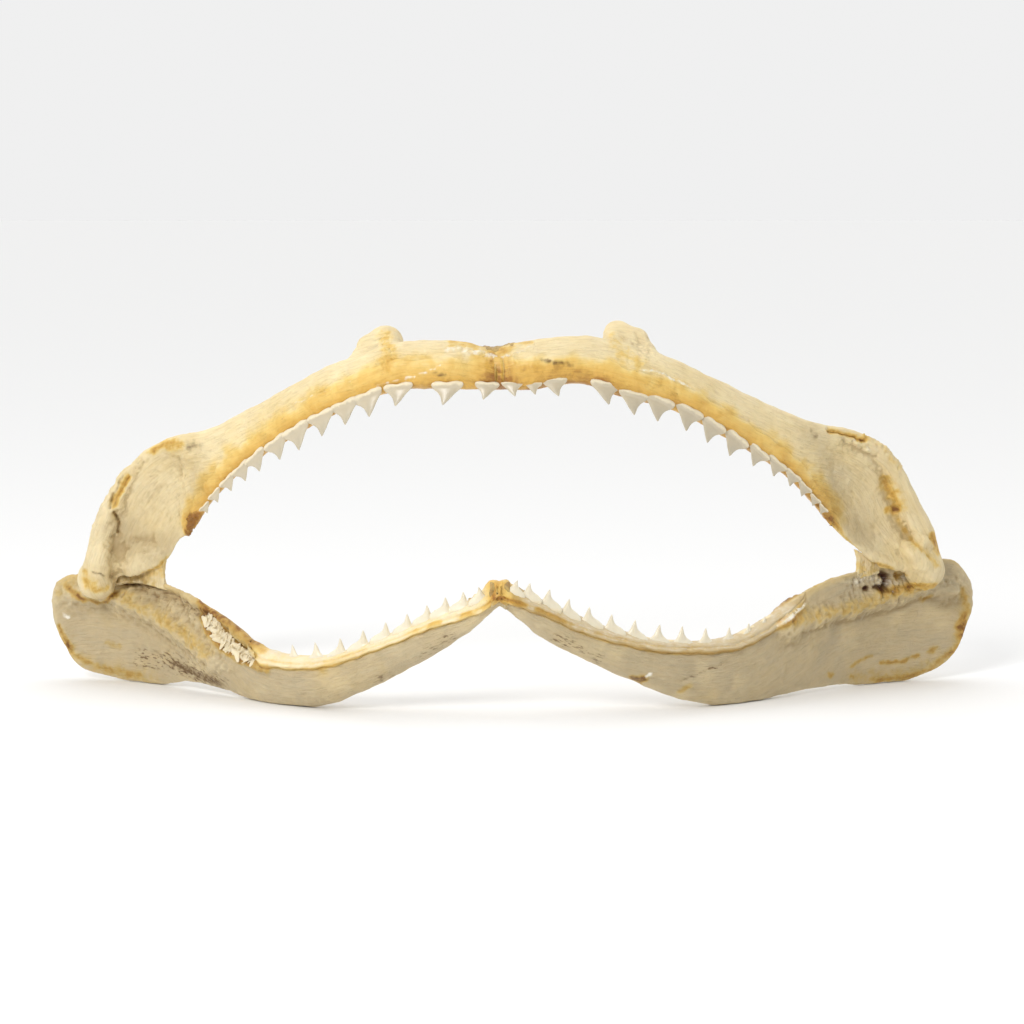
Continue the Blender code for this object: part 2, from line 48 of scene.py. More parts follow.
# the shapes of the four half jaws: the same stations as the solids have
# upper edge x, y, z; lower edge x, y, z; thickness above, midway, below; hollow of the outer face
halves = {
    "upperRight": np.array([
        (-5, -44, 106.6, -5, -50, 96.3, 8, 9, 7, -0.8),
        (-17, -44, 109.7, -17, -50, 96.4, 8, 10, 8, -1),
        (-32, -42, 109.5, -31.5, -48, 96, 8, 10, 8, -1),
        (-44, -39, 105.9, -41, -45, 93.6, 8, 10, 8, -1),
        (-58, -33, 100, -54.5, -40, 87.6, 7, 9, 8, -0.5),
        (-76, -25, 90.1, -70, -32, 78.5, 7, 8, 7, 0),
        (-92, -17, 81.7, -83, -24, 68.8, 7, 7, 6, 0.5),
        (-107, -9, 77.7, -92, -17, 59.5, 8, 5.5, 5, 2),
        (-119, -3, 69, -98, -12, 50.5, 9, 4.5, 4.5, 3),
        (-127, 0, 57.5, -103, -9, 46, 10, 4.5, 4, 3),
        (-131.5, 1, 46.5, -106, -7, 41, 11, 4.5, 4, 2.5),
        (-134.3, 1, 34.5, -108, -6, 38.8, 9, 4, 3, 1.2),
        (-133.4, 0.5, 31, -108.6, -5.9, 37.4, 5, 2.4, 1.6, 0.9)]),
    "upperLeft": np.array([
        (-2.4, -44, 108.2, -2.4, -50, 96.3, 8, 9, 7, -0.8),
        (6, -44, 110.1, 6, -50, 96.2, 8, 10, 8, -1),
        (20.5, -42, 111, 20.5, -48, 97.8, 8, 10, 8, -1),
        (36, -39, 108.5, 33, -45, 93.6, 8, 10, 8, -1),
        (54.5, -33, 101, 49.5, -40, 88.9, 7, 9, 8, -0.5),
        (74.5, -25, 91.1, 67, -32, 78.9, 7, 8, 7, 0),
        (92, -17, 83.6, 82.5, -24, 68.7, 7, 7, 6, 0.5),
        (106.5, -9, 80.1, 92.5, -17, 58.5, 8, 5.5, 5, 2),
        (118.8, -3, 71.9, 98.5, -12, 51, 9, 4.5, 4.5, 3),
        (126.5, 0, 58, 103.5, -9, 46, 10, 4.5, 4, 3),
        (132, 1, 47, 108.5, -7, 42.5, 11, 4.5, 4, 2.5),
        (134.5, 1, 37.5, 113, -6, 38.8, 9, 4, 3, 1.2),
        (133.4, 0.5, 34.5, 114, -5.9, 37.4, 5, 2.4, 1.6, 0.9)]),
    "lowerRight": np.array([
        (-4.6, -73, 40.6, -4.6, -69, 34.8, 6, 7, 6, 0),
        (-12, -70, 35.3, -14.5, -65, 24.2, 7, 8, 6, -0.5),
        (-24, -64, 29.9, -28, -59, 14.7, 8, 8, 6, -1),
        (-39, -57, 22.5, -44, -53, 5.9, 8, 8, 6, -1),
        (-56, -49, 16.1, -58.5, -47, 0.1, 8, 7.5, 6, -0.5),
        (-74, -38, 16.2, -75, -35, -0.7, 8, 7, 6, 0),
        (-87, -27, 23.8, -89, -22, 1.8, 7, 6, 5, 1),
        (-98, -15, 28.8, -101.5, -9, 1.9, 6, 5, 4.5, 1.5),
        (-109.5, -4, 32.3, -114, 2, -1.6, 5, 4.5, 5, 2),
        (-124.5, 6, 33.2, -125.5, 8, 0.6, 5, 4.5, 5, 2),
        (-138, 12, 33, -136.3, 11, 3.5, 5, 4.5, 4.5, 1.5),
        (-143.5, 14, 30.5, -142.6, 12, 12, 4, 3.5, 3.5, 0.5),
        (-145.4, 14.4, 26, -145, 13.6, 18.5, 2, 2, 2, 0)]),
    "lowerLeft": np.array([
        (-2.8, -73, 40.6, -2.8, -69, 34.8, 6, 7, 6, 0),
        (5.5, -70, 36.9, 7.2, -65, 25, 7, 8, 6, -0.5),
        (18, -64, 30.3, 20, -59, 17, 8, 8, 6, -1),
        (32.5, -57, 24.5, 35.5, -53, 9, 8, 8, 6, -1),
        (49, -49, 20.4, 52, -48, 2.3, 8, 7.5, 6, -0.5),
        (65.5, -40, 20.5, 69, -37, -1, 8, 7, 6, 0),
        (80, -29, 26, 85.5, -24, 0.9, 7, 6, 5, 1),
        (94, -16, 33.2, 101.5, -9, 0.8, 6, 5, 4.5, 1.5),
        (110, -5, 36.7, 116, 2, -1.6, 5, 4.5, 5, 2),
        (127, 6, 37.4, 130.5, 8, 2.2, 5, 4.5, 5, 2),
        (138.5, 12, 38, 139, 11, 6.6, 5, 4.5, 4.5, 1.5),
        (143.7, 14, 33.5, 143.7, 12, 16.5, 4, 3.5, 3.5, 0.5),
        (145.4, 14.4, 29, 145.4, 13.6, 21.5, 2, 2, 2, 0)]),
}


def isUpper(half):
    return half.startswith("upper")


def jawOf(half):
    return "upper" if isUpper(half) else "lower"


def unit(vector):
    return vector / np.linalg.norm(vector)


def smoothRows(rows, places):
    # the stations at these places, on a smooth curve through the whole ones
    places = np.atleast_1d(np.asarray(places, float))
    first = np.minimum(places.astype(int), len(rows) - 2)
    t = (places - first)[:, None]
    a, b, c, d = (rows[np.clip(first + k, 0, len(rows) - 1)] for k in (-1, 0, 1, 2))
    return 0.5 * (2 * b + (c - a) * t + (2 * a - 5 * b + 4 * c - d) * t**2 + (3 * b - a - 3 * c + d) * t**3)


class Slice:
    # one cross section of a half jaw, in frame millimetres
    def __init__(self, half, place):
        rows = halves[half]
        row = smoothRows(rows, place)[0]
        self.upper = row[0:3] + jointToCentre
        self.lower = row[3:6] + jointToCentre
        self.thick, self.dish = row[6:9], row[9]
        self.down = self.lower - self.upper
        self.height = np.linalg.norm(self.down)
        before, after = smoothRows(rows, (max(0, place - 0.05), min(len(rows) - 1, place + 0.05)))
        self.along = unit(after[0:3] + after[3:6] - before[0:3] - before[3:6])
        out = np.cross(self.down, self.along)
        if place < 0.01:
            out[0] = 0.0
        self.out = unit(out if out[1] < 0 else -out)
        self.edge = self.lower if isUpper(half) else self.upper
        self.toTip = unit(self.down if isUpper(half) else -self.down)

    def face(self, shares, side, puff=0.0):
        # points at these shares of the way down, on the outer face (1) or the inner face (-1)
        nearTop = 0.5 + 0.5 * np.cos(np.pi * np.minimum(1, shares / 0.45))
        nearFoot = 0.5 + 0.5 * np.cos(np.pi * np.minimum(1, (1 - shares) / 0.45))
        top, middle, foot = self.thick
        thick = middle + (top - middle) * nearTop + (foot - middle) * nearFoot
        rounding = np.sqrt(np.maximum(0, 1 - np.abs(2 * shares - 1) ** 4))
        offset = side * (0.5 * thick * rounding + puff) - self.dish * 4 * shares * (1 - shares)
        points = self.upper + np.outer(shares, self.down) + np.outer(offset, self.out)
        points[:, 2] = np.maximum(points[:, 2], 0.0)
        return points

    def ring(self, facePoints):
        # the outline of the whole section, down the outer face and up the inner one
        shares = 0.5 - 0.5 * np.cos(np.linspace(0, np.pi, facePoints))
        return np.concatenate([self.face(shares, 1), self.face(shares[1:-1][::-1], -1)])


# small tools for meshes

def pick(*pieces):
    bpy.ops.object.select_all(action="DESELECT")
    for piece in pieces:
        piece.select_set(True)
    bpy.context.view_layer.objects.active = pieces[0]


def pointsOf(piece):
    found = np.empty(len(piece.data.vertices) * 3)
    piece.data.vertices.foreach_get("co", found)
    return found.reshape(-1, 3) / mm


def setPoints(piece, points):
    piece.data.vertices.foreach_set("co", (points * mm).ravel())
    piece.data.update()


def normalsOf(piece):
    found = np.empty(len(piece.data.vertices) * 3)
    piece.data.vertex_normals.foreach_get("vector", found)
    return found.reshape(-1, 3)


def setMask(piece, name, values):
    values = np.asarray(values, dtype=np.float32)
    kind = "FLOAT_VECTOR" if values.ndim == 2 else "FLOAT"
    mask = piece.data.attributes.new(name, kind, "POINT")
    mask.data.foreach_set("vector" if values.ndim == 2 else "value", values.ravel())


def roughness(points, size, octaves=3, shift=0.0):
    # smooth noise from about -1 to 1 with features of this size in millimetres
    offset = Vector((shift, shift * 1.7, -shift))
    return np.array([noise.fractal(Vector(p) / size + offset, 0.9, 2.0, octaves) for p in points])


def relaxed(piece, points, times, weight=1.0):
    # the points drawn towards their neighbours' average this many times
    ends = np.empty(len(piece.data.edges) * 2, dtype=np.int32)
    piece.data.edges.foreach_get("vertices", ends)
    here, there = np.concatenate([ends, ends.reshape(-1, 2)[:, ::-1].ravel()]).reshape(-1, 2).T
    count = np.bincount(here, minlength=len(points))[:, None]
    for _ in range(times):
        total = np.stack([np.bincount(here, points[there, k], len(points)) for k in range(3)], axis=1)
        points = points + weight * (total / count - points)
    return points


def modify(piece, kind, **settings):
    pick(piece)
    modifier = piece.modifiers.new(kind, kind)
    for key, value in settings.items():
        setattr(modifier, key, value)
    bpy.ops.object.modifier_apply(modifier=modifier.name)


def gridPiece(name, points, closed):
    # a grid primitive laid over rows of points; closed rows are rolled into a tube with shut ends
    rings, around = points.shape[:2]
    if closed:
        points = np.concatenate([points, points[:, :1]], axis=1)
        around += 1
    bpy.ops.object.select_all(action="DESELECT")
    bpy.ops.mesh.primitive_grid_add(x_subdivisions=around - 1, y_subdivisions=rings - 1, size=1)
    piece = bpy.context.object
    piece.name = piece.data.name = name
    flat = pointsOf(piece)
    order = np.lexsort((flat[:, 0].round(6), flat[:, 1].round(6)))
    placed = np.empty_like(flat)
    placed[order] = points.reshape(-1, 3)
    setPoints(piece, placed)
    bpy.ops.object.mode_set(mode="EDIT")
    bpy.ops.mesh.select_all(action="SELECT")
    if closed:
        bpy.ops.mesh.remove_doubles(threshold=0.00001)
        bpy.ops.mesh.select_all(action="SELECT")
        bpy.ops.mesh.fill_holes(sides=0)
        bpy.ops.mesh.select_all(action="SELECT")
    bpy.ops.mesh.normals_make_consistent(inside=False)
    bpy.ops.object.mode_set(mode="OBJECT")
    return piece


def lump(name, centre, radii, lean=0.0):
    bpy.ops.object.select_all(action="DESELECT")
    bpy.ops.mesh.primitive_uv_sphere_add(
        segments=40, ring_count=20, radius=mm, location=Vector(centre) * mm,
        rotation=(0, math.radians(lean), 0), scale=radii)
    piece = bpy.context.object
    piece.name = piece.data.name = name
    bpy.ops.object.transform_apply(location=True, rotation=True, scale=True)
    return piece


def joined(name, pieces):
    pick(*pieces)
    bpy.ops.object.join()
    pieces[0].name = pieces[0].data.name = name
    return pieces[0]


def fused(piece, voxel, smoothing):
    # one skin round overlapping lumps
    modify(piece, "REMESH", mode="VOXEL", voxel_size=voxel * mm, adaptivity=0.0)
    modify(piece, "SMOOTH", factor=0.5, iterations=smoothing)
    return piece


def finished(piece, material, replaced=()):
    pick(piece)
    bpy.ops.object.shade_smooth()
    piece.data.materials.clear()
    piece.data.materials.append(material)
    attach(piece, "root")
    if replaced:
        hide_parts(*replaced)
    print("made", piece.name, len(piece.data.polygons), "faces")
    return piece


# materials

class Tone:
    # wraps one socket, so that shader maths reads as an expression
    def __init__(self, tree, socket=None):
        self.tree, self.socket = tree, socket

    def node(self, kind, settings=None, sockets=None, output=0):
        made = self.tree.nodes.new(kind)
        for key, value in (settings or {}).items():
            if key == "stops":
                ramp = made.color_ramp
                while len(ramp.elements) < len(value):
                    ramp.elements.new(0.5)
                for stop, (place, colour) in zip(ramp.elements, value):
                    stop.position, stop.color = place, (*colour, 1.0)
            else:
                setattr(made, key, value)
        for key, value in (sockets or {}).items():
            if isinstance(value, Tone):
                self.tree.links.new(value.socket, made.inputs[key])
            elif isinstance(value, tuple) and len(value) == 3 and made.inputs[key].type == "RGBA":
                made.inputs[key].default_value = (*value, 1.0)
            else:
                made.inputs[key].default_value = value
        return Tone(self.tree, made.outputs[output])

    def maths(self, operation, *values):
        return self.node("ShaderNodeMath", {"operation": operation}, dict(enumerate(values)))

    def __add__(self, other):
        return self.maths("ADD", self, other)

    def __radd__(self, other):
        return self.maths("ADD", other, self)

    def __sub__(self, other):
        return self.maths("SUBTRACT", self, other)

    def __rsub__(self, other):
        return self.maths("SUBTRACT", other, self)

    def __mul__(self, other):
        return self.maths("MULTIPLY", self, other)

    def __rmul__(self, other):
        return self.maths("MULTIPLY", other, self)

    def between(self, low, high):
        # 0 below low, 1 above high, smooth in the middle
        return self.node("ShaderNodeMapRange", {"interpolation_type": "SMOOTHSTEP"},
                         {"Value": self, "From Min": low, "From Max": high})

    def mask(self, name):
        return self.node("ShaderNodeAttribute", {"attribute_name": name}, output="Fac")

    def field(self, name):
        return self.node("ShaderNodeAttribute", {"attribute_name": name}, output="Vector")

    def place(self):
        return self.node("ShaderNodeTexCoord", output="Object")

    def scaled(self, stretch):
        return self.node("ShaderNodeVectorMath", {"operation": "MULTIPLY"}, {0: self, 1: stretch})

    def cloud(self, size, detail=4.0, rough=0.55, warp=0.0):
        # noise with features of this size in the units of the wrapped vector
        return self.node("ShaderNodeTexNoise", {}, {
            "Vector": self, "Scale": 1.0 / size, "Detail": detail, "Roughness": rough, "Distortion": warp})

    def cells(self, size):
        return self.node("ShaderNodeTexVoronoi", {}, {"Vector": self, "Scale": 1.0 / size}, "Distance")

    def blend(self, first, second):
        # the wrapped value is the share of the second colour
        return self.node("ShaderNodeMix", {"data_type": "RGBA"}, {0: self, 6: first, 7: second}, 2)

    def tinted(self, colour, share):
        return self.node("ShaderNodeMix", {"data_type": "RGBA", "blend_type": "MULTIPLY"},
                         {0: share, 6: self, 7: colour}, 2)


def newMaterial(name):
    made = bpy.data.materials.new(name)
    made.use_nodes = True
    tree = made.node_tree
    return made, tree.nodes["Principled BSDF"], Tone(tree)


def plug(shader, **sockets):
    for name, value in sockets.items():
        socket = shader.inputs[name.replace("_", " ")]
        if isinstance(value, Tone):
            value.tree.links.new(value.socket, socket)
        else:
            socket.default_value = value


def bumped(shader, height, strength, depth):
    height.tree.links.new(
        height.node("ShaderNodeBump", {}, {"Height": height, "Strength": strength, "Distance": depth * mm}).socket,
        shader.inputs["Normal"])


# the dirt colour serves both the fibrous dirt lines and the painted shade in hollows
jawLook = {  # honey, amber and rust tint what is under them
    "ivory": (0.80, 0.635, 0.325), "cream": (0.90, 0.76, 0.47), "tan": (0.55, 0.435, 0.255),
    "grey": (0.455, 0.385, 0.255), "ochre": (0.60, 0.42, 0.16), "dirtAndShade": (0.36, 0.245, 0.105),
    "honey": (0.98, 0.85, 0.46), "amber": (0.84, 0.70, 0.46), "rust": (0.50, 0.36, 0.25),
    "brown": (0.13, 0.066, 0.018), "hole": (0.075, 0.020, 0.006), "chalk": (0.94, 0.89, 0.76), "waxy": 0.10,
}
toothLook = {
    "upper": {"crown": (0.57, 0.49, 0.345), "glass": (0.49, 0.435, 0.325), "root": (0.78, 0.69, 0.50)},
    "lower": {"crown": (0.81, 0.74, 0.565), "glass": (0.74, 0.67, 0.515), "root": (0.80, 0.69, 0.47)},
    # the waiting teeth's darker, browner enamel stands partly for the shade between the front cusps
    "new": {"crown": (0.76, 0.64, 0.42), "glass": (0.70, 0.59, 0.40), "root": (0.58, 0.41, 0.18)},
}
ligamentLook = {"dark": (0.30, 0.175, 0.045), "amber": (0.54, 0.37, 0.12)}


def jawMaterial(name, gloss, depth):
    # dried cartilage and gum share it, so that the stains run on from one to the other
    look = jawLook
    made, shader, tone = newMaterial(name)
    place = tone.place()
    grain = tone.field("grain")
    broad = place.cloud(0.016, 4.0, 0.55, 0.4).between(0.34, 0.66)
    middle = place.cloud(0.0052, 5.0, 0.62, 0.8).between(0.30, 0.70)
    streaks = grain.scaled((0.10, 1.0, 1.0)).cloud(1.3, 5.0, 0.65, 0.3).between(0.30, 0.70)
    hairs = grain.scaled((0.10, 1.0, 1.0)).cloud(0.45, 4.0, 0.7).between(0.46, 0.70)
    fine = place.cloud(0.0009, 4.0, 0.7)
    pores = 1 - place.cells(0.0021).between(0.05, 0.16)
    hollow = tone.mask("hollow")
    upper = (broad * 0.45 + streaks * 0.4 + middle * 0.15).blend(look["ivory"], look["cream"])
    lower = (streaks * 0.5 + middle * 0.4).blend(look["tan"], look["grey"])
    ground = (tone.mask("tan") + (broad - 0.5) * 0.12).blend(upper, lower)
    mottled = ((1 - broad) * middle * (0.18 + streaks * 0.14)).blend(ground, look["ochre"])
    lined = (hairs * 0.22).blend(mottled, look["dirtAndShade"])
    # painted light from the shape: ridges are painted paler towards cream and hollows are painted darker towards the
    # dirt colour
    ridgesPaintedPale = ((0 - hollow).between(0.2, 1.2) * (0.12 + streaks * 0.2)).blend(lined, look["cream"])
    hollowsPaintedShade = (hollow.between(0.10, 1.2) * (0.35 + fine * 0.4)).blend(ridgesPaintedPale, look["dirtAndShade"])
    speckled = (pores * (1 - broad) * middle * 0.6).blend(hollowsPaintedShade, look["rust"])
    amberMask = tone.mask("amber") * (0.62 + middle * 0.3 + streaks * 0.3 + fine * 0.16)
    honeyed = speckled.tinted(look["honey"], amberMask.between(0.0, 0.75))
    ambered = honeyed.tinted(look["amber"], amberMask.between(0.40, 1.25))
    rusted = ambered.tinted(look["rust"], amberMask.between(1.10, 2.0))
    darkMask = (tone.mask("dark") * (0.35 + fine * 0.6 + streaks * 0.4)).between(0.10, 1.1)
    darkened = (darkMask * 0.9).blend(rusted, look["brown"])
    flecks = grain.scaled((0.30, 1.0, 1.0)).cloud(0.85, 2.0, 0.55).between(0.50, 0.60)
    flecked = (flecks * tone.mask("flecks").between(0.15, 0.9) * 0.8).blend(darkened, look["brown"])
    holed = (tone.mask("dark") * (0.7 + fine * 0.5)).between(1.2, 2.0).blend(flecked, look["hole"])
    chalkMask = (tone.mask("chalk") * (0.42 + fine * 0.5 + hairs * 0.25)).between(0.30, 0.95)
    chalked = chalkMask.blend(holed, look["chalk"])
    plug(shader, Base_Color=chalked, Roughness=gloss + middle * 0.22 - amberMask * 0.08,
         Subsurface_Weight=look["waxy"], Subsurface_Radius=(1.0, 0.6, 0.3), Subsurface_Scale=1.6 * mm, IOR=1.46)
    bumped(shader, streaks * 0.5 + hairs * 0.5 + fine * 0.5 - pores * 0.5 + middle * 0.9, 0.62, depth)
    return made


def toothMaterial(name, kind):
    look = toothLook[kind]
    made, shader, tone = newMaterial(name)
    place = tone.place()
    rise = tone.mask("rise")
    clouded = place.cloud(0.0016, 4.0, 0.6).between(0.3, 0.7)
    crown = (rise + clouded * 0.08).between(0.02, 0.16)
    glass = rise.between(0.15, 0.9) * 0.7 + clouded * 0.3
    rooted = crown.blend(look["root"], glass.blend(look["crown"], look["glass"]))
    plug(shader, Base_Color=(clouded * (1 - crown) * 0.25).blend(rooted, jawLook["amber"]),
         Roughness=0.50 - crown * 0.14, Coat_Weight=crown * 0.12, Coat_Roughness=0.25, Subsurface_Weight=0.2,
         Subsurface_Radius=(0.9, 0.8, 0.6), Subsurface_Scale=1.2 * mm, IOR=1.6)
    bumped(shader, clouded * (1 - crown * 0.6), 0.4, 0.2)
    return made


def ligamentMaterial(name):
    look = ligamentLook
    made, shader, tone = newMaterial(name)
    place = tone.place()
    folds = place.cloud(0.0028, 5.0, 0.65, 1.0).between(0.3, 0.7)
    fine = place.cloud(0.0007, 3.0, 0.7)
    plug(shader, Base_Color=folds.blend(look["dark"], look["amber"]), Roughness=0.3 + folds * 0.25,
         Subsurface_Weight=0.15, Subsurface_Radius=(1.0, 0.35, 0.1), Subsurface_Scale=2.0 * mm)
    bumped(shader, folds + fine * 0.5, 0.7, 0.4)
    return made


cartilage = jawMaterial("dried_cartilage", 0.40, 0.38)
driedGum = jawMaterial("dried_gum", 0.36, 0.16)
enamels = {kind: toothMaterial(kind + "_enamel", kind) for kind in toothLook}
driedLigament = ligamentMaterial("dried_ligament")
print("materials ready")

# the cartilage of the four half jaws

jawShape = {"voxel": 0.42, "rings": 230, "facePoints": 26}
knobs = {  # centre in frame millimetres, radii, lean
    "upperRight": [
        ((-40.4, -4.3, 106.4), (7.0, 6.0, 5.2), 24), ((-37.9, -3.4, 109.4), (5.4, 5.0, 4.6), 14),
        ((-36.6, -7.5, 106.6), (4.0, 6.5, 4.6), 0), ((-43.6, -7.5, 103.6), (5.5, 6.0, 4.0), 24),
        ((-129.7, 29.0, 33.0), (6.4, 6.2, 6.6), 0), ((-127.8, 28.2, 38.5), (5.6, 5.4, 7.0), 14)],
    "upperLeft": [
        ((34.3, -4.3, 108.0), (7.4, 6.0, 5.4), -24), ((31.7, -3.1, 111.2), (4.8, 5.0, 4.4), -20),
        ((30.4, -8.0, 108.4), (3.6, 6.5, 4.6), -10), ((38.0, -7.0, 105.6), (5.6, 6.0, 4.2), -24),
        ((128.7, 29.0, 36.2), (6.6, 6.2, 6.6), 0), ((126.6, 27.4, 41.0), (5.2, 5.2, 6.4), -24)],
    "lowerRight": [],
    "lowerLeft": [],
}


def mark(width, *line, **strengths):
    return {"line": list(zip(line[0::2], line[1::2])), "width": width, **strengths}
